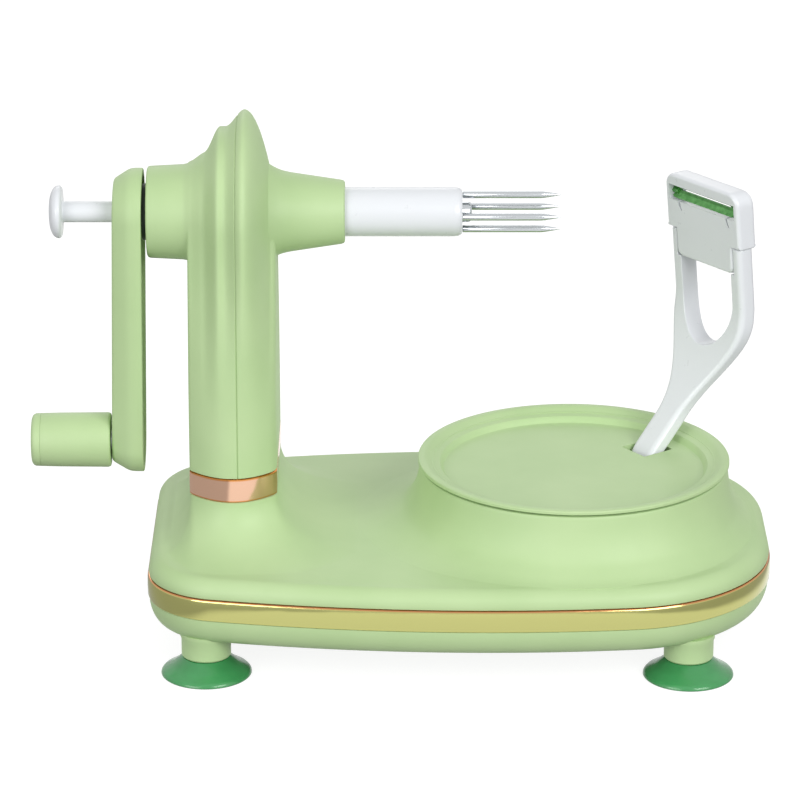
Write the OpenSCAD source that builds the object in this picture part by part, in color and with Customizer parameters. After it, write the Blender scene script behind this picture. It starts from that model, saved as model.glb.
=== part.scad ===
// Hand-cranked apple peeler on four suction cups, with a geared turntable that carries the peeling arm.
// The crank lies towards -X and the turntable towards +X; Z is up from the table. Sizes in millimetres.

/* [Base] */
// Half of the base's length
base_half_len = 113; // [105:0.5:120]
// Half of the base's depth at the bowed front and back
base_half_depth = 75; // [70:0.5:82]
// Plan radius of the two corners under the column
corner_left_r = 29; // [24:0.5:36]
// Plan radius of the two corners beside the turntable
corner_right_r = 58; // [50:0.5:62]
// Radius of the bowed front and back edges
bow_r = 480; // [350:5:700]
// Height of the underside above the table
floor_z = 15; // [13:0.5:18]
// Height of the rounded bilge below the trim band
bilge_h = 10; // [8:0.5:13]
// Height of the trim band
band_h = 8.2; // [6:0.1:10]
// Height from the band to the flat top
deck_h = 6.8; // [6:0.1:8]
// Wall thickness of the base mouldings
base_wall = 3; // [2.4:0.1:3.6]

/* [Suction cups] */
// Radius of a cup at the table
cup_r = 16.3; // [14:0.1:19]
// Height of a cup's cone
cup_h = 7; // [5:0.1:9]
// Radius of the post above a cup
post_r = 8.9; // [7:0.1:10]
// Distance of the cups under the column from the base's long axis
cup_left_y = 51; // [46:0.5:54]
// Distance of the cups beside the turntable from the base's long axis
cup_right_y = 53; // [46:0.5:54]
// Distance of the cups under the column from the base's end
cup_left_in = 21.4; // [19:0.2:27]
// Distance of the cups beside the turntable from the base's end
cup_right_in = 31.4; // [27:0.2:37]

/* [Column] */
// Distance of the column's middle from the base's end
col_in = 31; // [30:0.1:32]
// Half of the column's thickness
col_half = 15.7; // [15:0.1:17]
// Radius of the head at its crest
head_r = 36.7; // [34:0.1:40]
// Half-depth of the column at its flat ends
end_half_depth = 27.5; // [24:0.1:31]
// Height of the crank axis
axis_z = 157.5; // [150:0.5:175]
// Height of the ring's lower edge
ring_z = 59.6; // [56:0.1:66]
// Height of the ring
ring_h = 9.2; // [7:0.1:12]
// Wall thickness of the column shells
col_wall = 2.4; // [2:0.1:3]
// Reach of the foot's flare towards the turntable
flare = 30; // [20:0.5:34]
// Reach of the flare at the front and back
flare_deep = 22; // [14:0.5:24]
// Width of deck left outside the flare at the base's end
flare_margin = 7; // [6:0.1:9]

/* [Hub and nose] */
// Radius of the hub at its outer end
hub_r = 16.5; // [15.5:0.1:17]
// Length of the hub
hub_len = 14.8; // [12:0.1:18]
// Radius of the nose at the column
nose_r0 = 14.6; // [13.5:0.1:15]
// Radius of the nose at its open end
nose_r1 = 11.5; // [10.8:0.1:12.5]
// Length of the nose
nose_len = 24.6; // [21:0.1:28]

/* [Crank] */
// Distance from the crank axis to the grip axis
crank_len = 87; // [75:0.5:95]
// Thickness of the crank arm
crank_t = 10.6; // [9.5:0.1:13]
// Outward lean of the crank arm from its axis to the grip
crank_lean = 2; // [0:0.1:3]
// Radius of the arm's end at the crank axis
crank_r0 = 15.8; // [14:0.1:18]
// Radius of the arm's end at the grip
crank_r1 = 11.6; // [10.5:0.1:14]
// Inset of the arm's outer face behind its bevel
crank_bevel = 4.6; // [2:0.1:5.5]
// Depth of that bevel
bevel_deep = 5.6; // [4:0.1:7]
// Radius of the grip
grip_r = 10; // [9:0.1:12]
// Length of the grip
grip_len = 28.9; // [25:0.1:40]

/* [Fork] */
// Radius of the fork tube
tube_r = 8.85; // [8.4:0.05:9.2]
// Length of the tube in front of the nose
tube_len = 42; // [36:0.5:48]
// Length of the prongs in front of the tube
prong_len = 35.4; // [28:0.2:42]
// Radius of a prong
prong_r = 1.3; // [1:0.05:1.4]
// Radius of the circle the prongs stand on
prong_circle_r = 6.4; // [6:0.05:6.5]
// Radius of the push rod
rod_r = 3.8; // [3.4:0.05:3.8]
// Travel of the push rod
rod_travel = 18; // [10:0.5:18]

/* [Turntable] */
// Distance of the turntable's axis from the base's end
disc_in = 71.5; // [70:0.1:73]
// Radius of the turntable
disc_r = 56.9; // [54:0.1:58]
// Height of the rim
rim_z = 64.2; // [62:0.1:68]
// Depth of the recess inside the rim
recess = 4.8; // [3:0.1:6]
// Radius of the recess
recess_r = 47.8; // [46:0.1:49]

/* [Peeling arm] */
// Bearing of the arm behind the +X axis
arm_bearing = 37; // [25:1:50]
// Distance of the arm's pivot from the turntable's axis
pivot_rho = 30; // [29:0.2:31]
// Distance of the branches from the turntable's axis
yoke_rho = 66.6; // [63:0.2:68]
// Inward lean of the branches and the head, at its top
head_in = 4.5; // [2:0.1:6]
// Half-width of the stem
stem_half_w = 5.6; // [5:0.1:7]
// Thickness of the stem
arm_t = 6; // [5:0.1:7]
// Thickness of the two branches
branch_t = 7.4; // [7:0.1:9]
// Set-back of the branches from the head's edges
branch_in = 0.9; // [0.2:0.1:1.5]
// Length of the blade
blade_len = 35; // [32:0.5:40]
// Wall of the head at each end of the blade
cheek = 2.8; // [2.4:0.1:4]
// Height of the blade's swivel axis
blade_z = 150.2; // [146:0.2:154]
// Half-width of the blade
blade_half = 2.3; // [2:0.1:3]

/* [Gears and fits] */
// Thinning of each tooth for backlash
backlash = 0.14; // [0.1:0.01:0.2]
// Radial clearance of a shaft in its hole
run_fit = 0.06; // [0.03:0.01:0.1]
// Gap between mouldings that pass each other
gap = 0.3; // [0.2:0.05:0.5]

/* [Hidden] */
$fn = 64;

// Heights in the base
band_z = floor_z + bilge_h;
lip_z = band_z + band_h;
deck_z = lip_z + deck_h;
inner_floor = floor_z + 2.5;
ceiling_z = deck_z - base_wall;
layer_a = inner_floor + 2.5;
layer_a_h = 4.5;
layer_b = layer_a + layer_a_h + 1;
layer_b_h = 5;

// Places along X
col_x = col_in - base_half_len;
disc_x = base_half_len - disc_in;
col_l = col_x - col_half;
col_r = col_x + col_half;
split_x = col_x + 1.9;
peak_x = split_x + 2.3;
hub_l = col_l - hub_len;
nose_end = col_r + nose_len;
crank_in = hub_l - 1.7;
crank_out = crank_in - crank_t;
grip_in = crank_out - crank_lean - 0.6;
grip_out = grip_in - grip_len;
tube_end = nose_end + tube_len;
shift_x = -(grip_out + base_half_len) / 2;
grip_z = axis_z - crank_len;

// Turned pieces on the crank axis
spindle_r = 5.5;
bore_r = rod_r + run_fit;
tube_back = nose_end - 17.8;
cap_x = tube_end - 8.3;
knob_in = crank_out - rod_travel - gap;
collar_x = nose_end + 1;
tang_r = prong_r - 0.4;
tip_r = rod_r - 0.1;

// Gear train along the base's long axis
pinion_n = 12;
idler_n = 25;
wheel_n = 48;
table_n = 72;
table_x = disc_x;
shaft_x = col_x + 2.25;
gear_m = 2 * (disc_x - shaft_x) / (2 * pinion_n + 2 * idler_n + wheel_n + table_n);
wheel_x = table_x - (table_n + pinion_n) * gear_m / 2;
idler_x = wheel_x - (wheel_n + idler_n) * gear_m / 2;
shaft_r = 3;
bevel_n = 16;
bevel_r = 11;
bevel_h = 3.6;

// Turntable and collar
collar_r = disc_r - 0.6;
collar_z = rim_z - 2.4;
well_r = collar_r - 4.3;
well_z = collar_z - 15.8;
well_t = 3;
plate_z = rim_z - recess;
hub_shaft_r = 9;
seat_z = layer_b + layer_b_h + 0.5;

// Peeling arm
pivot_z = well_z + 5.5;
yoke_half_w = blade_len / 2 + cheek;
bend_top = pivot_z + 60.5;
crotch_z = pivot_z + 43.5;
seam_z = blade_z - 14.2;
tongue_z = seam_z - 10.5;
tongue_half_w = yoke_half_w - 4.6;
blade_slot_half = blade_half + 0.6;
head_top = blade_z + blade_slot_half + 4.4;
head_rho = yoke_rho - head_in;
blade_rho = upper(blade_z)[0] - 1.5;

function mix(a, b, t) = a + (b - a) * t;
function clamp01(t) = min(1, max(0, t));
function ease(t) = let (u = clamp01(t)) u * u * (3 - 2 * u);
// Inset of a quarter-round of depth d at share t of its height
function round_in(d, t) = d * (1 - sqrt(1 - pow(clamp01(t), 2)));

// Solid through a stack of equal-length loops
module loft(secs) {
  n = len(secs[0]);
  m = len(secs);
  pts = [for (s = secs) each s];
  sides = [for (j = [0:m - 2]) for (i = [0:n - 1])
    let (k = (i + 1) % n, a = j * n, b = a + n)
    each [[a + i, b + i, b + k], [a + i, b + k, a + k]]];
  base_cap = [[for (i = [0:n - 1]) i]];
  top_cap = [[for (i = [0:n - 1]) m * n - 1 - i]];
  polyhedron(points = pts, faces = concat(base_cap, sides, top_cap), convexity = 8);
}

// Points of an arc from angle a to b in n steps
function arc(c, r, a, b, n) = [for (i = [0:n]) let (t = mix(a, b, i / n)) c + r * [cos(t), sin(t)]];

// Plan outline of the base, moved inwards by e
bow_x = 10;
bow_y = bow_r - base_half_depth;
cl_x = corner_left_r - base_half_len;
cr_x = base_half_len - corner_right_r;
cl_y = sqrt(pow(bow_r - corner_left_r, 2) - pow(cl_x - bow_x, 2)) - bow_y;
cr_y = sqrt(pow(bow_r - corner_right_r, 2) - pow(cr_x - bow_x, 2)) - bow_y;
turn_l = atan2(cl_y + bow_y, bow_x - cl_x);
turn_r = atan2(cr_y + bow_y, cr_x - bow_x);
function front_half(e) = concat(
  arc([cl_x, -cl_y], corner_left_r - e, 180, 360 - (180 - turn_l), 8),
  [for (i = [1:4]) let (t = mix(180 + turn_l, 360 - turn_r, i / 5))
    [bow_x, bow_y] + (bow_r - e) * [cos(t), sin(t)]],
  arc([cr_x, -cr_y], corner_right_r - e, 360 - turn_r, 360, 10));
function base_loop(e) = let (f = front_half(e), n = len(f))
  concat(f, [for (i = [0:n - 1]) [f[n - 1 - i][0], -f[n - 1 - i][1]]]);
function lift(loop, z) = [for (p = loop) [p[0], p[1], z]];
module base_prism(e, z0, z1) translate([0, 0, z0]) linear_extrude(z1 - z0) polygon(base_loop(e));

// Column plan at the ring: a bowed front and back between flat ends
function ring_depth(x) = head_r - (head_r - end_half_depth) * pow((x - col_x) / col_half, 2);
function plan_loop(e) = grown_loop(e, e, e);
// Column plan moved outwards by its own share at the left, at the right and in depth
function grown_loop(left, right, deep, n = 12) = let (f = [for (i = [0:n])
    let (x = mix(col_l, col_r, i / n), k = (col_half + (x < col_x ? left : right)) / col_half)
    [col_x + (x - col_x) * k, -ring_depth(x) - deep]])
  concat(f, [for (i = [0:n]) [f[n - i][0], -f[n - i][1]]]);
// Outline of the foot at share s of the way down from the ring to the deck
flare_left = col_l + base_half_len - flare_margin;
function foot_share(s) = 0.35 * pow(s, 1.4) + 0.65 * pow(s, 3);
function foot_loop(s) = let (k = foot_share(s)) grown_loop(k * flare_left, k * flare, k * flare_deep);
module plan_prism(e, z0, z1) translate([0, 0, z0]) linear_extrude(z1 - z0) polygon(plan_loop(e));

// Head radius along X: three steps on the crank side, one round fall on the fork side
step_x = [col_l + 2.2, col_l + 8.5, split_x - 0.9];
step_w = [4.4, 6, 7];
step_h = [3.4, 9.2, 0];
foot_r = hub_r + 1.6;
crest_h = head_r - foot_r - step_h[0] - step_h[1];
function crank_side(x) = foot_r
  + step_h[0] * ease((x - step_x[0]) / step_w[0] + 0.5)
  + step_h[1] * ease((x - step_x[1]) / step_w[1] + 0.5)
  + crest_h * ease((x - step_x[2]) / step_w[2] + 0.5);
function fork_side(x) = let (t = (x - peak_x) / 9.4)
  nose_r0 + 0.8 + (head_r - nose_r0 - 0.8) * (1 - pow(clamp01(t), 2));
function head_at(x) = x < peak_x ? crank_side(x) : fork_side(x);
function leg_at(x, z) = mix(ring_depth(x), head_at(x), ease((z - ring_z - ring_h)
    / (axis_z - ring_z - ring_h)));
// Half-depth of the inside: the outside at a neighbouring place less the wall
function inside_at(x, z) = let (d = x < split_x ? -col_wall : col_wall)
  min(leg_at(x, z), leg_at(max(col_l, min(col_r, x + d)), z)) - col_wall;

// Arch-shaped slice across the column at x
leg_n = 7;
arch_n = 16;
function slice(x, z0, inner) = let (
  leg = [for (i = [0:leg_n - 1]) let (z = mix(z0, axis_z, i / leg_n))
    [inner ? inside_at(x, z) : leg_at(x, z), z]],
  r = inner ? inside_at(x, axis_z) : leg_at(x, axis_z))
  concat([for (p = leg) [x, p[0], p[1]]],
    [for (i = [0:arch_n]) let (a = 180 * i / arch_n) [x, r * cos(a), axis_z + r * sin(a)]],
    [for (i = [0:leg_n - 1]) let (p = leg[leg_n - 1 - i]) [x, -p[0], p[1]]]);
function stations(x0, x1, n) = [for (i = [0:n]) mix(x0, x1, i / n)];
module arch_solid(x0, x1, n, z0, inner) loft([for (x = stations(x0, x1, n)) slice(x, z0, inner)]);

// Cylinder and turned solid along the crank axis
module xcyl(x0, x1, r, y = 0, z = axis_z) translate([x0, y, z]) rotate([0, 90, 0])
    cylinder(h = x1 - x0, r = r);
module xturn(pts, z = axis_z) translate([0, 0, z]) rotate([0, 90, 0]) rotate_extrude()
  polygon([for (p = pts) [p[1], p[0]]]);
module zturn(pts) rotate_extrude() polygon(pts);
module zcyl(x, y, z0, z1, r) translate([x, y, z0]) cylinder(h = z1 - z0, r = r);
module placed() translate([shift_x, 0, 0]) children();
// Frame of the peeling arm: X outwards from the turntable's axis, Y along the turn
module at_arm() translate([disc_x, 0, 0]) rotate([0, 0, arm_bearing]) children();
module ycyl(rho, z, y0, y1, r) translate([rho, y1, z]) rotate([90, 0, 0]) cylinder(h = y1 - y0, r = r);

// Involute half-angle of a tooth at radius q
function inv_deg(a) = tan(a) * 180 / PI - a;
function tooth_half(n, m, q) = let (r = n * m / 2, rb = r * cos(20), a = q > rb ? acos(rb / q) : 0)
  90 / n - backlash / 2 / r * 180 / PI + inv_deg(20) - inv_deg(a);
function gear_loop(n, m, turn = 0) = let (r = n * m / 2, rf = r - 1.1 * m, rb = r * cos(20),
    ra = r + 0.8 * m,
  low = max(rb, rf + 0.3 * (r - rf)), qs = n > 30 ? [rf, r, ra] : [rf, low, r, ra], k = len(qs))
  [for (i = [0:n - 1]) for (j = [0:2 * k - 1]) let (q = qs[j < k ? j : 2 * k - 1 - j],
    a = turn + 360 * i / n + (j < k ? -1 : 1) * tooth_half(n, m, q)) q * [cos(a), sin(a)]];
module spur(n, z0, h, turn) translate([0, 0, z0]) linear_extrude(h) polygon(gear_loop(n, gear_m, turn));
// Ring-shaped solid between two outer and two inner loops of equal length
module ring_loft(out0, out1, in0, in1) {
  n = len(out0);
  faces = [for (i = [0:n - 1]) let (k = (i + 1) % n) each [
    [i, n + i, n + k], [i, n + k, k],
    [2 * n + i, 3 * n + k, 3 * n + i], [2 * n + i, 2 * n + k, 3 * n + k],
    [i, k, 2 * n + k], [i, 2 * n + k, 2 * n + i],
    [3 * n + i, 3 * n + k, n + k], [3 * n + i, n + k, n + i]]];
  polyhedron(points = concat(out0, out1, in0, in1), faces = faces, convexity = 8);
}
// Mitre bevel gear with a bore, wide end at z 0 and apex at bevel_r
module mitre(turn, bore) {
  big = gear_loop(bevel_n, 2 * bevel_r / bevel_n, turn);
  n = len(big);
  k = (bevel_r - bevel_h) / bevel_r;
  hole = [for (i = [0:n - 1]) let (a = turn + 360 * (i - 3.5) / n) bore * [cos(a), sin(a)]];
  ring_loft(lift(big, 0), lift(k * big, bevel_h), lift(hole, 0), lift(hole, bevel_h));
}

// Round wire along a coil on the Z axis
module coil(r, wire_r, h, turns, steps = 14) {
  count = turns * steps;
  loft([for (i = [0:count]) let (a = 360 * i / steps, z = h * i / count)
    [for (j = [0:5]) let (b = 60 * j) [(r + wire_r * cos(b)) * cos(a), (r + wire_r * cos(b)) * sin(a),
      z - wire_r * sin(b)]]]);
}

cup_rows = [[cup_left_in - base_half_len, cup_left_y], [base_half_len - cup_right_in, cup_right_y]];
cup_places = [for (p = cup_rows) for (s = [-1, 1]) [p[0], s * p[1]]];
screw_places = [for (p = [[col_l + 0.5, 28], [disc_x + 50.5, 36]]) for (s = [-1, 1]) [p[0], s * p[1]]];
column_screw_y = 17;
column_screw_z = ring_z + ring_h + 14;

// Lower half of the base with cup posts and the gear bearings
module base_bottom_plate() color("#b9d9a4") placed() difference() {
  union() {
    difference() {
      loft([for (i = [6:-1:0]) let (t = sin(15 * i)) lift(base_loop(0.5 + round_in(6.5, t)),
          band_z - bilge_h * t)]);
      base_prism(base_wall + 3, inner_floor, band_z + 1);
    }
    for (p = cup_places) zcyl(p[0], p[1], cup_h, inner_floor, post_r);
    for (p = screw_places) zcyl(p[0], p[1], inner_floor - 1, band_z, 4.5);
    for (x = [shaft_x, idler_x, wheel_x]) zcyl(x, 0, inner_floor - 1, layer_a - gap, 6);
  }
  for (p = cup_places) zcyl(p[0], p[1], 0, cup_h + 6, 4 + run_fit);
  for (p = screw_places) {
    zcyl(p[0], p[1], floor_z - 1, band_z + 1, 1.7);
    zcyl(p[0], p[1], floor_z - 1, inner_floor + 1, 3.4);
  }
  for (x = [shaft_x, idler_x, wheel_x]) zcyl(x, 0, floor_z + 1, layer_a + 1, shaft_r + run_fit);
}

// Metallised band between the base mouldings
module base_trim_band() color("#d7b98a") placed() difference() {
  base_prism(0, band_z, lip_z);
  base_prism(base_wall + 0.2, band_z - 1, lip_z + 1);
}

// Upper half of the base: deck, collar of the turntable, foot of the column
module base_upper_shell() color("#b9d9a4") placed() difference() {
  union() {
    difference() {
      union() {
        loft([for (i = [0:6]) let (t = sin(15 * i))
          lift(base_loop(0.5 + round_in(4.6, t)), lip_z + 1.2 * min(1, i) + (deck_h - 1.2)
              * t * min(1, i))]);
        base_prism(base_wall + 0.5, band_z, lip_z + 1);
        translate([disc_x, 0, 0]) zturn([[0, ceiling_z], [collar_r + 13.5, deck_z - 0.5],
            [collar_r + 8.4, deck_z + 3.5],
          [collar_r + 5, deck_z + 6.5], [collar_r + 2.6, deck_z + 10.5], [collar_r + 1, deck_z + 15.5],
          [collar_r, collar_z - 0.6], [collar_r - 0.6, collar_z], [0, collar_z]]);
        loft(concat([lift(foot_loop(1), ceiling_z + 1)],
          [for (i = [0:10]) lift(foot_loop(1 - i / 10), mix(deck_z - 0.2, ring_z - 1.2, i / 10))],
          [lift(foot_loop(0), ring_z)]));
      }
      base_prism(base_wall + 3, band_z - 1, ceiling_z);
      translate([disc_x, 0, 0]) {
        zcyl(0, 0, ceiling_z - 1, well_z - well_t, well_r);
        zcyl(0, 0, well_z, collar_z + 1, well_r);
      }
      plan_prism(-col_wall - 0.4, ceiling_z - 1, ring_z + 1);
    }
    zcyl(disc_x, 0, seat_z + gap, well_z, hub_shaft_r + 5);
    for (p = screw_places) zcyl(p[0], p[1], band_z, ceiling_z + 1, 4.5);
  }
  zcyl(disc_x, 0, seat_z, well_z + 1, hub_shaft_r + run_fit);
  for (p = screw_places) zcyl(p[0], p[1], band_z - 1, ceiling_z - 1, 1.5 + run_fit);
}

// Screws that close the base from below
module base_screws() color("#c9ccd0") placed() for (p = screw_places) {
  zcyl(p[0], p[1], inner_floor - 0.8, inner_floor + 0.9, 3.1);
  zcyl(p[0], p[1], inner_floor + 0.8, ceiling_z - 1.5, 1.5);
}

// Soft cups with a stud in each post
module suction_cups() color("#7fc7b2") placed() for (p = cup_places) translate([p[0], p[1], 0])
  zturn([[cup_r - 1.6, 0], [cup_r, 0], [cup_r - 0.4, 1.6], [post_r - 0.5, cup_h - 0.2],
      [4, cup_h - 0.2],
    [4, cup_h + 5.6], [0, cup_h + 5.6], [0, cup_h - 2.4], [5, cup_h - 2.8], [cup_r - 4, 1.6]]);

// Crank-side half of the column with the hub
module column_crank_shell() color("#b9d9a4") placed() difference() {
  union() {
    difference() {
      union() {
        arch_solid(col_l, split_x, 12, ring_z + ring_h, false);
        intersection() {
          plan_prism(-col_wall - 0.7, ring_z - 8, ring_z + ring_h + 1);
          translate([col_l, -50, 0]) cube([split_x - col_l, 100, axis_z]);
        }
      }
      arch_solid(col_l + 2.6, split_x + 0.01, 10, ring_z + ring_h + 3, true);
      intersection() {
        plan_prism(-2 * col_wall - 0.9, ring_z - 9, ring_z + ring_h + 3.5);
        translate([col_l + 2.6, -50, 0]) cube([split_x - col_l, 100, axis_z]);
      }
    }
    xturn([[hub_l, 0], [hub_l, hub_r - 1], [hub_l + 1, hub_r], [col_l + 0.5, hub_r + 1.2],
        [col_l + 0.5, 0]]);
    for (s = [-1, 1]) xcyl(col_l + 0.5, split_x, 3.8, s * column_screw_y, column_screw_z);
  }
  xcyl(hub_l + 9, col_l + 2.7, 12.6);
  xcyl(hub_l - 1, hub_l + 10, spindle_r + 1 + run_fit);
  for (s = [-1, 1]) {
    xcyl(col_l - 1, split_x + 1, 1.7, s * column_screw_y, column_screw_z);
    xcyl(col_l - 1, col_l + 3, 3.2, s * column_screw_y, column_screw_z);
  }
}

// Fork-side half of the column with the nose
module column_fork_shell() color("#b9d9a4") placed() difference() {
  union() {
    difference() {
      union() {
        arch_solid(split_x, col_r, 14, ring_z + ring_h, false);
        intersection() {
          plan_prism(-col_wall - 0.7, ring_z - 8, ring_z + ring_h + 1);
          translate([split_x, -50, 0]) cube([col_r - split_x, 100, axis_z]);
        }
      }
      arch_solid(split_x - 0.01, col_r - 2.6, 12, ring_z + ring_h + 3, true);
      intersection() {
        plan_prism(-2 * col_wall - 0.9, ring_z - 9, ring_z + ring_h + 3.5);
        translate([col_r - 2.6 - 40, -50, 0]) cube([40, 100, axis_z]);
      }
    }
    xturn([[col_r - 0.5, 0], [col_r - 0.5, nose_r0], [nose_end - 0.8, nose_r1],
        [nose_end, nose_r1 - 0.6], [nose_end, 0]]);
    for (s = [-1, 1]) xcyl(split_x, col_r - 0.5, 3.8, s * column_screw_y, column_screw_z);
  }
  xcyl(col_r - 2.7, tube_back + 3.5, nose_r1 - 0.2);
  xcyl(tube_back + 3, nose_end + 1, tube_r + 0.08);
  zcyl(shaft_x, 0, axis_z - bevel_r - 0.6, axis_z, bevel_r + 1.4);
  for (s = [-1, 1]) xcyl(split_x - 1, col_r - 3, 1.5 + run_fit, s * column_screw_y, column_screw_z);
}

// Metallised ring at the foot of the column
module column_ring() color("#d7b98a") placed() difference() {
  plan_prism(0.4, ring_z, ring_z + ring_h);
  plan_prism(-col_wall - 0.5, ring_z - 1, ring_z + ring_h + 1);
}

// Screws that draw the column shells together
module column_screws() color("#c9ccd0") placed() for (s = [-1, 1]) {
  xcyl(col_l + 1, col_l + 2.9, 2.9, s * column_screw_y, column_screw_z);
  xcyl(col_l + 2.8, col_r - 4, 1.5, s * column_screw_y, column_screw_z);
}

// Bridge between the shells that steadies the drive shaft
bridge_top = axis_z - bevel_r - 6.8;
module shaft_bearing() color("#e6e3d8") placed() difference() {
  translate([col_l + 2.6 + gap / 2, -9, bridge_top - 4.2]) cube([2 * col_half - 5.2 - gap, 18, 4.2]);
  zcyl(shaft_x, 0, bridge_top - 6, bridge_top + 1, shaft_r + run_fit);
}

// Outline of the crank arm, moved inwards by e
tangent = asin((crank_r0 - crank_r1) / crank_len);
function crank_edge(e) = concat(arc([0, axis_z], crank_r0 - e, -tangent, 180 + tangent, 20),
  arc([0, grip_z], crank_r1 - e, 180 + tangent, 360 - tangent, 16));
function crank_loop(e, x) = [for (p = crank_edge(e)) [x - crank_lean * (axis_z - p[1]) / crank_len,
    p[0], p[1]]];
module crank_arm() color("#b9d9a4") placed() difference() {
  union() {
    difference() {
      loft([crank_loop(crank_bevel, crank_out), crank_loop(0.78 * crank_bevel, crank_out + 0.6),
        crank_loop(0.2 * crank_bevel, crank_out + 0.8 * bevel_deep),
        crank_loop(0, crank_out + bevel_deep + 1), crank_loop(0, crank_in - 0.5), crank_loop(0.5, crank_in)]);
      loft([crank_loop(crank_bevel + 1, crank_out + 2.6), crank_loop(2.8, crank_out + bevel_deep + 1),
        crank_loop(2.6, crank_in + 1)]);
    }
    xcyl(crank_out + 2, crank_in, 10);
    xcyl(crank_out - crank_lean + 2, crank_in - crank_lean, 7, 0, grip_z);
  }
  xcyl(crank_out - 1, crank_in, bore_r + 0.2);
  translate([crank_out + 2.6, 0, axis_z]) rotate([0, 90, 0]) cylinder(h = crank_t,
      r = spindle_r + 0.95, $fn = 6);
  xcyl(crank_out - crank_lean - 1, crank_in - crank_lean - 1.5, 3 + run_fit, 0, grip_z);
}

// Fixed pin the grip turns on
module grip_pin() color("#c9ccd0") placed() {
  xcyl(grip_out + 6, crank_in - crank_lean - 1.6, 3, 0, grip_z);
  xcyl(grip_out + 4.2, grip_out + 6.2, 4.5, 0, grip_z);
}

// Turning grip
module crank_grip() color("#b9d9a4") placed() xturn([[grip_in, 3 + run_fit], [grip_in, grip_r - 1.4],
    [grip_in - 1.4, grip_r],
  [grip_out + 10, grip_r - 0.2], [grip_out + 3.4, grip_r - 0.4], [grip_out + 3.4, 5],
      [grip_out + 6.4, 5],
  [grip_out + 6.4, 3 + run_fit]], grip_z);

// Plug that closes the grip's end
module grip_cap() color("#b9d9a4") placed() xturn([[grip_out + 3.4, 0],
    [grip_out + 3.4, grip_r - 0.4], [grip_out + 1.6, grip_r - 0.5],
  [grip_out + 0.5, grip_r - 1.3], [grip_out, grip_r - 2.6], [grip_out, 0]], grip_z);

// Hollow spindle: hexagon for the crank, flange, journal, stem
module main_spindle() color("#4a4d50") placed() difference() {
  union() {
    translate([crank_out + 2.8, 0, axis_z]) rotate([0, 90, 0]) cylinder(h = crank_t,
        r = spindle_r + 0.9, $fn = 6);
    xcyl(crank_in, hub_l - 0.1, 10.2);
    xcyl(hub_l - 0.2, hub_l + 11, spindle_r + 1);
    xcyl(hub_l + 10, nose_end + 0.8, spindle_r);
    xcyl(col_l + 2.9, shaft_x - bevel_r, 8);
  }
  xcyl(crank_out, nose_end + 2, bore_r);
}

// Mitre gear on the spindle
module spindle_bevel() color("#e6e3d8") placed() translate([shaft_x - bevel_r, 0, axis_z]) rotate([0,
    90, 0])
  mitre(0, spindle_r + 0.03);

// White tube that carries the fork
module fork_tube() color("#f4f4f2") placed() difference() {
  xturn([[tube_back, 0], [tube_back, nose_r1 - 0.6], [tube_back + 2.6, nose_r1 - 0.6],
      [tube_back + 2.6, tube_r],
    [tube_end - 2.6, tube_r], [tube_end - 1.2, tube_r - 0.3], [tube_end - 0.3, tube_r - 0.9],
        [tube_end, tube_r - 1], [tube_end, 0]]);
  xcyl(tube_back - 1, nose_end + 0.9, spindle_r + 0.02);
  xcyl(nose_end + 0.8, cap_x, spindle_r + 0.6);
  xcyl(cap_x - 1, tube_end + 1, rod_r + 0.2 + run_fit);
  xcyl(tube_end - 1.2, tube_end + 1, tube_r - 1.2);
  for (a = [0:90:270]) rotate_about_axis(a) xcyl(cap_x + 1, tube_end, tang_r + 0.02, 0,
      axis_z + prong_circle_r);
}
module rotate_about_axis(a) translate([0, 0, axis_z]) rotate([a, 0, 0]) translate([0, 0, -axis_z])
    children();

// Steel plate round the prongs
module prong_plate() color("#c9ccd0") placed() difference() {
  xcyl(tube_end - 1.2, tube_end, tube_r - 1.22);
  xcyl(tube_end - 2, tube_end + 1, rod_r + 0.2 + run_fit);
  for (a = [0:90:270]) rotate_about_axis(a) xcyl(tube_end - 2, tube_end + 1, tang_r + 0.02, 0,
      axis_z + prong_circle_r);
}

// Four pointed prongs on thinner tangs, their shoulders at the plate
module prongs() color("#c9ccd0") placed() for (a = [0:90:270]) rotate_about_axis(a)
  xturn([[cap_x + 1.2, 0], [cap_x + 1.2, tang_r], [tube_end + gap + 0.1, tang_r],
    [tube_end + gap + 0.1, prong_r], [tube_end + prong_len - 6.7, prong_r],
    [tube_end + prong_len, 0.15], [tube_end + prong_len, 0]], axis_z + prong_circle_r);

// Rod that pushes the core off the fork
module push_rod() color("#f4f4f2") placed() {
  xcyl(knob_in - 2.5, cap_x + 2.5, rod_r);
  xcyl(collar_x, collar_x + 2.2, rod_r + 1.8);
}

// Mushroom knob of the push rod
module push_knob() color("#f4f4f2") placed() difference() {
  xturn([[knob_in, 0], [knob_in, 8.7], [knob_in - 0.8, 9.4], [knob_in - 2, 9.5], [knob_in - 3.4, 8.4],
    [knob_in - 4.3, 6], [knob_in - 4.7, 3], [knob_in - 4.75, 0]]);
  xcyl(knob_in - 2.6, knob_in + 1, rod_r + 0.02);
}

// Metal end of the push rod, seen between the prongs
module push_tip() color("#c9ccd0") placed() xturn([[cap_x + 2.5, 0], [cap_x + 2.5, tip_r],
    [tube_end + 2.6, tip_r], [tube_end + 3.4, tip_r - 0.8], [tube_end + 3.4, 0]]);

// Return spring inside the fork tube
module push_spring() color("#c9ccd0") placed() translate([collar_x + 2.9, 0, axis_z]) rotate([0, 90, 0])
  coil(5.2, 0.5, cap_x - collar_x - 3.6, 7);

// Upright shaft from the head to the base, with a shoulder under its mitre gear
module drive_shaft() color("#c9ccd0") placed() {
  zcyl(shaft_x, 0, floor_z + 1.3, axis_z - bevel_r + 2.5, shaft_r);
  zcyl(shaft_x, 0, bridge_top + gap, axis_z - bevel_r, 8);
}

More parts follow.
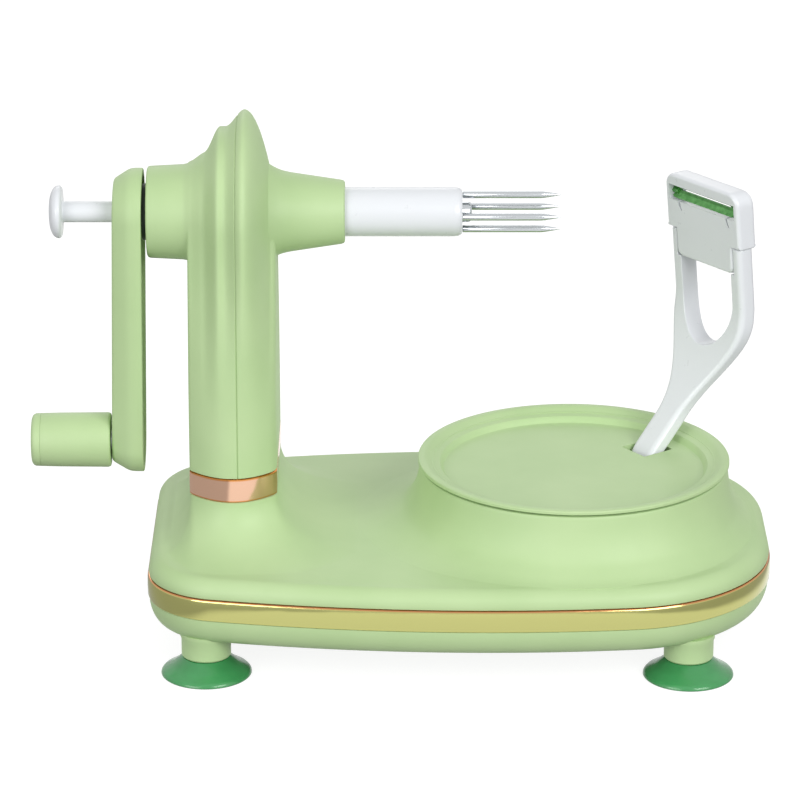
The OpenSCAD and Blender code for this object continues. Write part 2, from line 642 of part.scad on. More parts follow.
// Mitre gear on the upright shaft
module shaft_bevel() color("#e6e3d8") placed() translate([shaft_x, 0, axis_z - bevel_r])
  mitre(180 / bevel_n, shaft_r + 0.03);

// First pinion at the foot of the shaft
module shaft_pinion() color("#e6e3d8") placed() translate([shaft_x, 0, 0]) difference() {
  spur(pinion_n, layer_a, layer_a_h, 0);
  zcyl(0, 0, layer_a - 1, layer_b, shaft_r + 0.02);
}

// Fixed axles of the two loose gears
module gear_axles() color("#c9ccd0") placed() {
  zcyl(idler_x, 0, floor_z + 1.3, layer_b + 1.6, shaft_r);
  zcyl(wheel_x, 0, floor_z + 1.3, layer_b + layer_b_h + 2.4, shaft_r);
}

// Push-on clips that keep the loose gears down
module axle_clips() color("#c9ccd0") placed() for (p = [[idler_x, layer_a + layer_a_h + gap],
    [wheel_x, layer_b + layer_b_h + gap]])
  translate([p[0], 0, p[1]]) difference() {
    cylinder(h = 1, r = 5.5);
    translate([0, 0, -1]) cylinder(h = 3, r = shaft_r + 0.02);
  }

// Idler between pinion and reduction wheel
module idler_gear() color("#e6e3d8") placed() translate([idler_x, 0, 0]) difference() {
  spur(idler_n, layer_a, layer_a_h, 0);
  zcyl(0, 0, layer_a - 1, layer_b, shaft_r + run_fit);
}

// Reduction wheel with its own pinion on top
module reduction_gear() color("#e6e3d8") placed() translate([wheel_x, 0, 0]) difference() {
  union() {
    spur(wheel_n, layer_a, layer_a_h, 180 / wheel_n);
    spur(pinion_n, layer_a + layer_a_h, layer_b + layer_b_h - layer_a - layer_a_h, 0);
  }
  zcyl(0, 0, layer_a - 1, layer_b + layer_b_h + 1, shaft_r + run_fit);
}

// Turntable with raised rim, arm slot, pivot box and hub
slot_in = 28.4;
slot_out = 42;
slot_half = stem_half_w + 1;
box_in = pivot_rho - 4.6;
module turntable_disc() color("#b9d9a4") placed() difference() {
  union() {
    translate([disc_x, 0, 0]) zturn([[0, plate_z], [recess_r - 0.6, plate_z],
        [recess_r, plate_z + 0.5], [recess_r + 0.6, rim_z - 1.6],
      [recess_r + 2, rim_z - 0.4], [recess_r + 4, rim_z], [disc_r - 1, rim_z], [disc_r, rim_z - 0.8],
          [disc_r - 0.2, rim_z - 1.5],
      [well_r - 0.6, rim_z - 1.5], [well_r - 0.6, plate_z - 3.4], [hub_shaft_r + 5, plate_z - 3.4],
          [hub_shaft_r + 5, well_z],
      [hub_shaft_r, well_z], [hub_shaft_r, seat_z], [0, seat_z]]);
    at_arm() translate([box_in - 2.4, -13.5, well_z + 1]) cube([slot_out - box_in + 5, 27,
        plate_z - well_z - 3]);
    translate([disc_x - 5.5, -5.5, layer_b]) cube([11, 11, seat_z - layer_b + 1]);
  }
  at_arm() translate([slot_in, -slot_half, well_z]) cube([slot_out - slot_in, 2 * slot_half, 30]);
  at_arm() translate([box_in, -10.5, well_z]) cube([slot_out - box_in, 21, plate_z - 3.4 - well_z]);
  at_arm() ycyl(pivot_rho, pivot_z, -12.6, 12.6, 2 + 0.02);
  zcyl(disc_x, 0, layer_b - 1, layer_b + 12, 1.8 + 0.02);
}

// Large gear under the turntable
module turntable_gear() color("#e6e3d8") placed() translate([table_x, 0, 0]) difference() {
  spur(table_n, layer_b, seat_z - layer_b, 180 / table_n);
  translate([-5.55, -5.55, layer_b - 1]) cube([11.1, 11.1, seat_z]);
}

// Washer and bolt that hold the gear to the hub
module turntable_washer() color("#c9ccd0") placed() translate([disc_x, 0, layer_b - 1]) difference() {
  cylinder(h = 1, r = 9);
  translate([0, 0, -1]) cylinder(h = 3, r = 1.9);
}
module turntable_bolt() color("#c9ccd0") placed() {
  zcyl(disc_x, 0, layer_b - 3, layer_b - 1, 3.4);
  zcyl(disc_x, 0, layer_b - 1.1, layer_b + 11.5, 1.8);
}

// Pin and spring of the peeling arm
module arm_pivot_pin() color("#c9ccd0") placed() at_arm() ycyl(pivot_rho, pivot_z, -12.5, 12.5, 2);
module arm_spring() color("#c9ccd0") placed() at_arm() translate([pivot_rho, stem_half_w + 0.9,
    pivot_z]) rotate([-90, 0, 0])
  coil(2.7, 0.4, 2, 2);

// Middle line of the arm as [distance outwards, height]: a curve, then straight to the head
knots = [[pivot_rho, pivot_z], [mix(pivot_rho, yoke_rho, 0.22), mix(pivot_z, bend_top, 0.207)],
  [yoke_rho + 0.5, mix(pivot_z, bend_top, 0.53)], [yoke_rho, bend_top]];
function bend(u) = pow(1 - u, 3) * knots[0] + 3 * u * pow(1 - u, 2) * knots[1]
  + 3 * u * u * (1 - u) * knots[2] + pow(u, 3) * knots[3];
function upper(z) = [mix(yoke_rho, head_rho, (z - bend_top) / (head_top - bend_top)), z];
function slope(u) = let (d = bend(u) - bend(u - 0.02)) atan2(d[0], d[1]);
function arm_half(z) = mix(stem_half_w, yoke_half_w - branch_in, ease((z - pivot_z - 18.5) / 36));
function arm_deep(z) = mix(arm_t, branch_t, ease((z - pivot_z - 24) / 30)) / 2;
// Horizontal slice with bevelled corners
function arm_slice(p, lean) = let (r = p[0], z = p[1], d = arm_deep(z) / cos(lean), w = arm_half(z),
    c = 1.6)
  [[r + d, -w + c, z], [r + d, w - c, z], [r + d - c, w, z], [r - d + c, w, z],
   [r - d, w - c, z], [r - d, -w + c, z], [r - d + c, -w, z], [r + d - c, -w, z]];
window_half = yoke_half_w - 6.3;
function window_loop() = concat(
  [for (i = [0:12]) let (t = i / 12) [window_half * sin(90 * t), mix(crotch_z, crotch_z + 19,
      1 - cos(90 * t))]],
  [[window_half, tongue_z], [tongue_half_w + 0.15, tongue_z], [tongue_half_w + 0.15, seam_z + 1]]);
function mirrored(loop) = concat(loop, [for (i = [len(loop) - 1:-1:1]) [-loop[i][0], loop[i][1]]]);
module across(loop) translate([pivot_rho, 0, 0]) rotate([90, 0, 90])
  linear_extrude(2 * (yoke_rho - pivot_rho)) polygon(loop);

// Forked arm from the pivot to the blade holder
module peeler_arm() color("#f4f4f2") placed() at_arm() difference() {
  loft(concat([arm_slice([pivot_rho, pivot_z - 3.2], 0), arm_slice([pivot_rho, pivot_z], 0)],
    [for (i = [3:14]) arm_slice(bend(i / 14), slope(i / 14))],
    [for (z = [bend_top + 6, tongue_z, seam_z - 0.15]) arm_slice(upper(z), 2)]));
  across(mirrored(window_loop()));
  ycyl(pivot_rho, pivot_z, -20, 20, 2 + run_fit);
}

// Head that clips between and over the branches
head_d0 = branch_t / 2 + 0.5;
function head_loop(e) = [[yoke_half_w - e, seam_z], [yoke_half_w - e, head_top - 5],
    [yoke_half_w - 2 - e, head_top - 2],
  [yoke_half_w - 6, head_top - e], [-yoke_half_w + 6, head_top - e],
      [-yoke_half_w + 2 + e, head_top - 2],
  [-yoke_half_w + e, head_top - 5], [-yoke_half_w + e, seam_z], [-tongue_half_w, seam_z + 0.4],
      [-tongue_half_w, tongue_z + 3],
  [-tongue_half_w + 3, tongue_z], [tongue_half_w - 3, tongue_z], [tongue_half_w, tongue_z + 3],
      [tongue_half_w, seam_z + 0.4]];
function at_lean(loop, d) = [for (p = loop) [upper(p[1])[0] + d, p[0], p[1]]];
module blade_holder() color("#f4f4f2") placed() at_arm() difference() {
  loft([at_lean(head_loop(1.4), -head_d0), at_lean(head_loop(0.2), -head_d0 + 1.2),
    at_lean(head_loop(0), -head_d0 + 2.4), at_lean(head_loop(0), head_d0 - 2.4),
        at_lean(head_loop(1), head_d0)]);
  translate([blade_rho - 2 * head_d0, -blade_len / 2 - 0.7, blade_z - blade_slot_half])
    cube([4 * head_d0, blade_len + 1.4, 2 * blade_slot_half]);
  ycyl(blade_rho, blade_z, -blade_len / 2 - 2, blade_len / 2 + 2, 1 + run_fit);
}

// Section of the blade: a shallow trough with its edges towards the fruit
function blade_face(x) = [for (i = [-3:3]) let (t = i / 3) [x - 1.3 * t * t, blade_half * t]];
function blade_section() = let (a = blade_face(0), b = blade_face(0.7))
  concat(a, [for (i = [6:-1:0]) b[i]]);
// Curved swivel blade with a slit between its two edges
module blade() color("#c9ccd0") placed() at_arm() difference() {
  union() {
    translate([blade_rho, blade_len / 2, blade_z]) rotate([90, 0, 0]) linear_extrude(blade_len)
      polygon(blade_section());
    ycyl(blade_rho, blade_z, -blade_len / 2 - 1.8, -blade_len / 2 + 2, 1);
    ycyl(blade_rho, blade_z, blade_len / 2 - 2, blade_len / 2 + 1.8, 1);
  }
  translate([blade_rho - 4, -blade_len / 2 + 3.5, blade_z - 0.6]) cube([8, blade_len - 7, 1.2]);
}

base_bottom_plate();
base_trim_band();
base_upper_shell();
base_screws();
suction_cups();
column_crank_shell();
column_fork_shell();
column_ring();
column_screws();
shaft_bearing();
crank_arm();
grip_pin();
crank_grip();
grip_cap();
main_spindle();
spindle_bevel();
fork_tube();
prong_plate();
prongs();
push_rod();
push_knob();
push_tip();
push_spring();
drive_shaft();
shaft_bevel();
shaft_pinion();
gear_axles();
axle_clips();
idler_gear();
reduction_gear();
turntable_disc();
turntable_gear();
turntable_bolt();
turntable_washer();
arm_pivot_pin();
arm_spring();
peeler_arm();
blade_holder();
blade();
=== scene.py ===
import math
import bpy
from mathutils import Matrix, Vector


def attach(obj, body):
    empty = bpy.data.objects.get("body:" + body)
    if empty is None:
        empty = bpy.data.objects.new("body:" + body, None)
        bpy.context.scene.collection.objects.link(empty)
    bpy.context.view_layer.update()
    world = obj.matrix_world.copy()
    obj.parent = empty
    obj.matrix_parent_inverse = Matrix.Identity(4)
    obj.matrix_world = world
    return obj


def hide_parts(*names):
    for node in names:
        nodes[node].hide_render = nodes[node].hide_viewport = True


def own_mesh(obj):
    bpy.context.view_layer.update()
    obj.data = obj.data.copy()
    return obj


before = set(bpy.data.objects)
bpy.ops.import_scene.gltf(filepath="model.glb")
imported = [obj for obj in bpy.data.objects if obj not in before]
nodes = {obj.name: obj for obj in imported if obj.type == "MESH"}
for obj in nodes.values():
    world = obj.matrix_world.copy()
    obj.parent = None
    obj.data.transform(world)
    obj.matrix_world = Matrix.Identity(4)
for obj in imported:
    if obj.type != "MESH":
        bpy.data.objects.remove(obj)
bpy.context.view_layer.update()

# Sizes are in millimetres from the middle of the base; SHIFT moves them to the shared frame
SHIFT = 21.65

# Base: its plan with bowed front and back, its heights, the setback of its plastic from the band's face and
# of its hollow, the cups, and the places of the gears' axles along X
HALF_LEN, HALF_DEPTH, LEFT_R, RIGHT_R = 113, 75, 29, 58
BOW_R, BOW_X = 480, 10
FLOOR, BAND, LIP, DECK = 15, 25, 33.2, 40
EDGE, WALL = 0.5, 6
CUPS = [(-91.6, -51), (-91.6, 51), (81.6, -53), (81.6, 53)]
SHAFT_X, IDLER_X, REDUCTION_X = -79.75, -56.625, -11

# Column with its ring, foot, crank-side hub and fork-side nose; AXIS is the crank's height
COL_X, COL_HALF, HEAD_R, END_DEPTH = -82, 15.7, 36.7, 27.5
COL_L, COL_R, SPLIT = COL_X - COL_HALF, COL_X + COL_HALF, COL_X + 1.9
PEAK = SPLIT + 2.3
RING, RING_TOP, AXIS = 59.6, 68.8, 157.5
FLARE_LEFT, FLARE_RIGHT, FLARE_DEEP = 8.3, 30, 22
HUB_R, HUB_L = 16.5, COL_L - 14.8
NOSE_END, NOSE_R0, NOSE_R1 = COL_R + 24.6, 14.6, 11.5
COLUMN_WALL, SCREW_Y, SCREW_Z = 2.4, 17, 82.8

# Crank, grip, push rod, spring and fork
CRANK_IN, CRANK_OUT, LEAN, CRANK_LEN = HUB_L - 1.7, HUB_L - 12.3, 2, 87
CRANK_DEEP = CRANK_IN - CRANK_OUT
CRANK_R0, CRANK_R1 = 15.8, 11.6
GRIP_Z = AXIS - CRANK_LEN
GRIP_IN, GRIP_OUT = CRANK_OUT - LEAN - 0.6, CRANK_OUT - LEAN - 29.5
KNOB = CRANK_OUT - 18.3
ROD_R, ROD_HOLE_R, ROD_STOP = 3.8, 4.1, -40.7
TUBE_R, TUBE_BACK, TUBE_END = 8.85, NOSE_END - 17.8, NOSE_END + 42
CAP = TUBE_END - 8.3
PRONG_OUT = 6.4
SPRING_BACK, SPRING_R, SPRING_WIRE_R, SPRING_TURNS = -37.8, 5.2, 0.5, 7

# Turntable, and the collar and well it sits in
DISC_X, DISC_R, RIM, PLATE = 41.5, 56.9, 64.2, 59.4
COLLAR_R, COLLAR_TOP, WELL_R, WELL = 56.3, 61.8, 52, 46
SCREWS = [(COL_L + 0.5, -28), (COL_L + 0.5, 28), (DISC_X + 50.5, -36), (DISC_X + 50.5, 36)]

# Peeling arm: RHO counts outwards from the turntable's axis, widths are half widths
BEARING, PIVOT_RHO, PIVOT_Z, YOKE_RHO, HEAD_RHO = math.radians(37), 30, 51.5, 66.6, 62.1
ARM_T, BRANCH_T, ARM_ROUND = 6, 7.4, 2.3
STEM_W, BRANCH_W, YOKE_W, WINDOW_W, TONGUE_W = 5.6, 19.4, 20.3, 14, 15.7
BEND_TOP, CROTCH, TONGUE, SEAM, HEAD_TOP = 112, 95, 125.5, 136, 157.5
BLADE_RHO, BLADE_Z, BLADE_LEN, SLOT_HALF = 61.32, 150.2, 35, 2.9
BLADE_END = BLADE_LEN / 2
HOOKS = (-13.8, 12.7)


def place(x, y, z):
    """A point given in millimetres, in the metres of the shared frame."""
    return Vector(((x + SHIFT) / 1000, y / 1000, z / 1000))


def mix(a, b, t):
    return a + (b - a) * t


def ease(t):
    t = min(1, max(0, t))
    return t * t * (3 - 2 * t)


def shares(n):
    """Even steps from 0 to 1."""
    return [i / n for i in range(n + 1)]


def circle(n):
    """Angles of n points round a circle."""
    return [math.tau * i / n for i in range(n)]


def arc(cx, cy, r, a, b, n):
    """Points of an arc from a to b degrees."""
    turns = [math.radians(mix(a, b, s)) for s in shares(n)]
    return [(cx + r * math.cos(t), cy + r * math.sin(t)) for t in turns]


def along(start, *points):
    """A profile whose places along X are counted from start."""
    return [(start + x, r) for x, r in points]


def flowing(points, steps=6):
    """Points of a smooth line through the given ones."""
    ends = [points[0]] + list(points) + [points[-1]]
    line = []
    for four in zip(ends, ends[1:], ends[2:], ends[3:]):
        for t in shares(steps)[:-1]:
            line.append(tuple(0.5 * (2 * q + (r - p) * t + (2 * p - 5 * q + 4 * r - s) * t * t
                                     + (3 * q - p - 3 * r + s) * t ** 3)
                              for p, q, r, s in zip(*four)))
    return line + [tuple(points[-1])]


def front_and_back(front):
    """Plan outline from its front half, with the back alike."""
    return front + [(x, -y) for x, y in reversed(front)]


def mirrored(half):
    """The other half of an outline of (width, height) points, drawn backwards."""
    return [(-t, z) for t, z in reversed(half)]


# Modelling steps

def clear():
    if bpy.context.mode != "OBJECT":
        bpy.ops.object.mode_set(mode="OBJECT")
    bpy.ops.object.select_all(action="DESELECT")


def pick(piece):
    clear()
    piece.select_set(True)
    bpy.context.view_layer.objects.active = piece


def wrapped(name, rings):
    """A grid wrapped round a stack of rings, closed along its seam and over its ends."""
    clear()
    count = len(rings[0])
    bpy.ops.mesh.primitive_grid_add(x_subdivisions=count, y_subdivisions=len(rings) - 1, size=0.1)
    piece = bpy.context.object
    piece.name = piece.data.name = name
    spots = [c for ring in rings for p in list(ring) + [ring[0]] for c in place(*p)]
    piece.data.vertices.foreach_set("co", spots)
    bpy.ops.object.mode_set(mode="EDIT")
    bpy.ops.mesh.select_all(action="SELECT")
    bpy.ops.mesh.remove_doubles(threshold=2e-6)
    bpy.ops.mesh.fill_holes(sides=0)
    bpy.ops.mesh.select_all(action="SELECT")
    bpy.ops.mesh.normals_make_consistent(inside=False)
    bpy.ops.object.mode_set(mode="OBJECT")
    return piece


def turned_x(name, line, y=0, z=AXIS, n=72):
    """A circle pulled along X through [x, radius] points, as on a lathe."""
    return wrapped(name, [[(x, y + r * math.cos(a), z + r * math.sin(a)) for a in circle(n)]
                          for x, r in line])


def turned_z(name, line, x=0, y=0, n=72):
    """A circle pulled up through [radius, z] points, as on a wheel."""
    return wrapped(name, [[(x + r * math.cos(a), y + r * math.sin(a), z) for a in circle(n)]
                          for r, z in line])


def on_arm(rho, t, z):
    """Place in the arm's own frame: outwards from the turntable's axis, along the turn, up."""
    return (DISC_X + rho * math.cos(BEARING) - t * math.sin(BEARING),
            rho * math.sin(BEARING) + t * math.cos(BEARING), z)


def turned_t(name, rho, z, line, n):
    """A circle pulled across the arm through [t, radius] points."""
    return wrapped(name, [[on_arm(rho + r * math.cos(a), t, z + r * math.sin(a)) for a in circle(n)]
                          for t, r in line])


def block(name, corners0, corners1):
    """A four-sided block between two rings of corners."""
    return wrapped(name, [corners0, corners1])


def arm_block(name, rho0, rho1, t, z0, z1):
    """A block in the arm's own frame, t to each side."""
    plan = [(rho0, -t), (rho1, -t), (rho1, t), (rho0, t)]
    return block(name, [on_arm(r, s, z0) for r, s in plan], [on_arm(r, s, z1) for r, s in plan])


def worked(piece, other, operation):
    """Joins another solid to the piece, or cuts it away."""
    pick(piece)
    step = piece.modifiers.new("work", "BOOLEAN")
    step.operation = operation
    step.solver = "MANIFOLD"
    step.object = other
    bpy.ops.object.modifier_apply(modifier=step.name)
    bpy.data.objects.remove(other, do_unlink=True)


def added(piece, *others):
    for other in others:
        worked(piece, other, "UNION")


def cut(piece, *others):
    for other in others:
        worked(piece, other, "DIFFERENCE")


def joined(name, parts):
    clear()
    for part in parts:
        part.select_set(True)
    bpy.context.view_layer.objects.active = parts[0]
    bpy.ops.object.join()
    parts[0].name = parts[0].data.name = name
    return parts[0]


def broken_edges(piece, width, segments):
    """Small rounds on the piece's sharp edges."""
    pick(piece)
    step = piece.modifiers.new("rounds", "BEVEL")
    step.limit_method = "ANGLE"
    step.angle_limit = math.radians(40)
    step.width = width / 1000
    step.segments = segments
    step.use_clamp_overlap = True
    bpy.ops.object.modifier_apply(modifier=step.name)


# Materials

def tone(code):
    """Linear colour of an sRGB hex value."""
    parts = [int(code[i:i + 2], 16) / 255 for i in (1, 3, 5)]
    return [c / 12.92 if c <= 0.04045 else ((c + 0.055) / 1.055) ** 2.4 for c in parts] + [1]


def node(tree, kind, links=(), **settings):
    """Adds a node, sets its inputs and properties, and links its inputs."""
    made = tree.nodes.new(kind)
    for key, value in settings.items():
        if key in made.inputs:
            made.inputs[key].default_value = value
        else:
            setattr(made, key, value)
    for socket, source in links:
        tree.links.new(source, made.inputs[socket])
    return made


def finish(name, colour, **settings):
    """A new material with its shader set, and the millimetre coordinates that its patterns read."""
    material = bpy.data.materials.new(name)
    material.use_nodes = True
    tree = material.node_tree
    shader = tree.nodes["Principled BSDF"]
    shader.inputs["Base Color"].default_value = tone(colour)
    for key, value in settings.items():
        shader.inputs[key.replace("_", " ")].default_value = value
    material.diffuse_color = tone(colour)
    spot = tree.nodes.new("ShaderNodeTexCoord")
    in_mm = node(tree, "ShaderNodeMapping", [("Vector", spot.outputs["Object"])],
                 Scale=(1000, 1000, 1000))
    return material, tree, shader, in_mm.outputs["Vector"]


def noise(tree, where, scale, detail):
    """Noise with its scale in cells per millimetre."""
    made = node(tree, "ShaderNodeTexNoise", [("Vector", where)], Scale=scale, Detail=detail)
    return made.outputs["Fac"]


def ranged(tree, value, low, high, start=0.0, end=1.0, **settings):
    """A value carried from the range start to end over to the range low to high."""
    made = node(tree, "ShaderNodeMapRange", [("Value", value)], **settings)
    for key, size in (("From Min", start), ("From Max", end), ("To Min", low), ("To Max", high)):
        made.inputs[key].default_value = size
    return made.outputs["Result"]


def maths(tree, operation, *values):
    """A sum on sockets or plain numbers."""
    made = node(tree, "ShaderNodeMath", operation=operation)
    for socket, value in zip(made.inputs, values):
        if isinstance(value, bpy.types.NodeSocket):
            tree.links.new(value, socket)
        else:
            socket.default_value = value
    return made.outputs[0]


def coloured(tree, shader, value, *stops):
    """Base colour that runs through the stops, given as (position, hex)."""
    ramp = node(tree, "ShaderNodeValToRGB", [("Fac", value)])
    for spot, code in stops[1:-1]:
        ramp.color_ramp.elements.new(spot).color = tone(code)
    for i in (0, -1):
        ramp.color_ramp.elements[i].position = stops[i][0]
        ramp.color_ramp.elements[i].color = tone(stops[i][1])
    tree.links.new(ramp.outputs["Color"], shader.inputs["Base Color"])


def roughened(tree, shader, value, low, high):
    tree.links.new(ranged(tree, value, low, high), shader.inputs["Roughness"])


def embossed(tree, shader, value, strength, distance):
    bump = node(tree, "ShaderNodeBump", [("Height", value)], Strength=strength, Distance=distance)
    tree.links.new(bump.outputs["Normal"], shader.inputs["Normal"])


# Mint ABS, moulded in a spark-textured tool: an even pastel body with a fine matt grain and a soft sheen
mint, tree, shader, mm = finish("mint_abs_spark_textured", "#b7d19b", Roughness=0.5, IOR=1.53,
                                Specular_IOR_Level=0.42)
coloured(tree, shader, noise(tree, mm, 0.03, 3.0), (0.3, "#b3ce97"), (0.7, "#bbd49f"))
# Real grain is 0.1 mm; drawn at 0.7 mm so that it shows
grain = noise(tree, mm, 1.4, 2.0)
roughened(tree, shader, grain, 0.45, 0.57)
embossed(tree, shader, grain, 0.1, 0.00005)

# Vacuum-metallised trim under a tinted lacquer: gold darkened to olive on the band, a painted greenish
# reflection;
# rose on the ring; copper along the band's upper edge, a painted reflection, and along both edges of the
# ring; the moulding below ripples slowly
gold, tree, shader, mm = finish("gold_metallised_trim", "#bebd79", Metallic=1.0, Roughness=0.12)
height = node(tree, "ShaderNodeSeparateXYZ", [("Vector", mm)]).outputs["Z"]
# Painted reflection in the trim's colour: olive on the band's face, copper along its upper edge
coloured(tree, shader, ranged(tree, height, 0.0, 1.0, BAND, RING_TOP),
         (0.172, "#bebd79"), (0.18, "#c68a5c"), (0.5, "#d8924e"), (0.8, "#d8924e"), (0.812, "#e8bda1"),
         (0.974, "#e8bda1"), (0.984, "#d8924e"), (1.0, "#d8924e"))
embossed(tree, shader, noise(tree, mm, 0.09, 1.0), 0.3, 0.0006)

# White ABS from a polished tool: clean, semi-gloss, a trace of orange peel
white, tree, shader, mm = finish("white_abs_semi_gloss", "#e3e6ea", Roughness=0.28, IOR=1.53)
peel = noise(tree, mm, 0.35, 2.0)
roughened(tree, shader, peel, 0.26, 0.31)
embossed(tree, shader, peel, 0.02, 0.0001)

# Plasticised vinyl, cast: glossy, lets light through at its thin rim
vinyl, tree, shader, mm = finish("teal_vinyl_translucent", "#58b07a", Roughness=0.2, IOR=1.52,
                                 Transmission_Weight=0.35)
coloured(tree, shader, noise(tree, mm, 0.12, 2.0), (0.0, "#419a57"), (1.0, "#54b26d"))

# Stainless steel, drawn and polished: bright with fine lines along the wire
steel, tree, shader, mm = finish("stainless_steel_polished", "#c4c8cb", Metallic=1.0, Roughness=0.2)
drawn = node(tree, "ShaderNodeMapping", [("Vector", mm)], Scale=(0.08, 2.0, 2.0)).outputs["Vector"]
roughened(tree, shader, noise(tree, drawn, 1.5, 3.0), 0.14, 0.3)

# Polished blade steel, tinted green to paint in the green reflection it shows, with faint streaks in the tint
edge_steel, tree, shader, mm = finish("blade_steel_painted_green_reflection", "#5c9a55", Metallic=0.7, Roughness=0.22)
coloured(tree, shader, noise(tree, mm, 0.6, 2.0), (0.3, "#4d8a48"), (0.7, "#69a862"))

# Blackened steel of the spindle with a dull gloss, darkened further and tinted green to paint in the deep
# shade of the gap between crank and hub
oxide_with_gap_shade, tree, shader, mm = finish("blackened_steel_with_painted_gap_shade", "#39413a", Metallic=0.8, Roughness=0.45)
roughened(tree, shader, noise(tree, mm, 0.5, 4.0), 0.36, 0.55)

# Natural acetal of the gears: waxy off-white
acetal, tree, shader, mm = finish("natural_acetal_moulded", "#e4dfd2", Roughness=0.4, IOR=1.48)
roughened(tree, shader, noise(tree, mm, 0.3, 3.0), 0.34, 0.48)


def dressed(piece, body, material, slot, *stands_for, angle=32, flat_faces=False):
    """Finish, shading and the body that the piece moves with."""
    pick(piece)
    piece.data.materials.clear()
    piece.data.materials.append(material)
    bpy.ops.object.shade_smooth_by_angle(angle=math.radians(angle))
    if flat_faces:
        step = piece.modifiers.new("flat_faces", "WEIGHTED_NORMAL")
        step.keep_sharp = True
        bpy.ops.object.modifier_apply(modifier=step.name)
    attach(piece, body)
    if stands_for:
        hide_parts(*stands_for)


# Base

def base_edge(e, n=22):
    """Plan outline of the base, moved inwards by e."""
    bow_y = BOW_R - HALF_DEPTH
    lx, rx = LEFT_R - HALF_LEN, HALF_LEN - RIGHT_R
    ly = math.sqrt((BOW_R - LEFT_R) ** 2 - (lx - BOW_X) ** 2) - bow_y
    ry = math.sqrt((BOW_R - RIGHT_R) ** 2 - (rx - BOW_X) ** 2) - bow_y
    left = math.degrees(math.atan2(ly + bow_y, BOW_X - lx))
    right = math.degrees(math.atan2(ry + bow_y, rx - BOW_X))
    return front_and_back(arc(lx, -ly, LEFT_R - e, 180, 180 + left, n)
                          + arc(BOW_X, bow_y, BOW_R - e, 180 + left, 360 - right, n)[1:-1]
                          + arc(rx, -ry, RIGHT_R - e, 360 - right, 360, n))


def level(loop, z):
    return [(x, y, z) for x, y in loop]


def collar_ring(out, tail, z, n=144):
    """Ring of the turntable's collar.

    Its flare is drawn in at the base's right end and runs out to the left."""
    loop = []
    for a in circle(n):
        drawn_in = 0.96 - 0.26 * max(0, math.cos(a)) ** 6 if out > 0 else 1
        r = COLLAR_R + out * drawn_in + tail * max(0, -math.cos(a)) ** 1.5
        loop.append((DISC_X + r * math.cos(a), r * math.sin(a), z))
    return loop


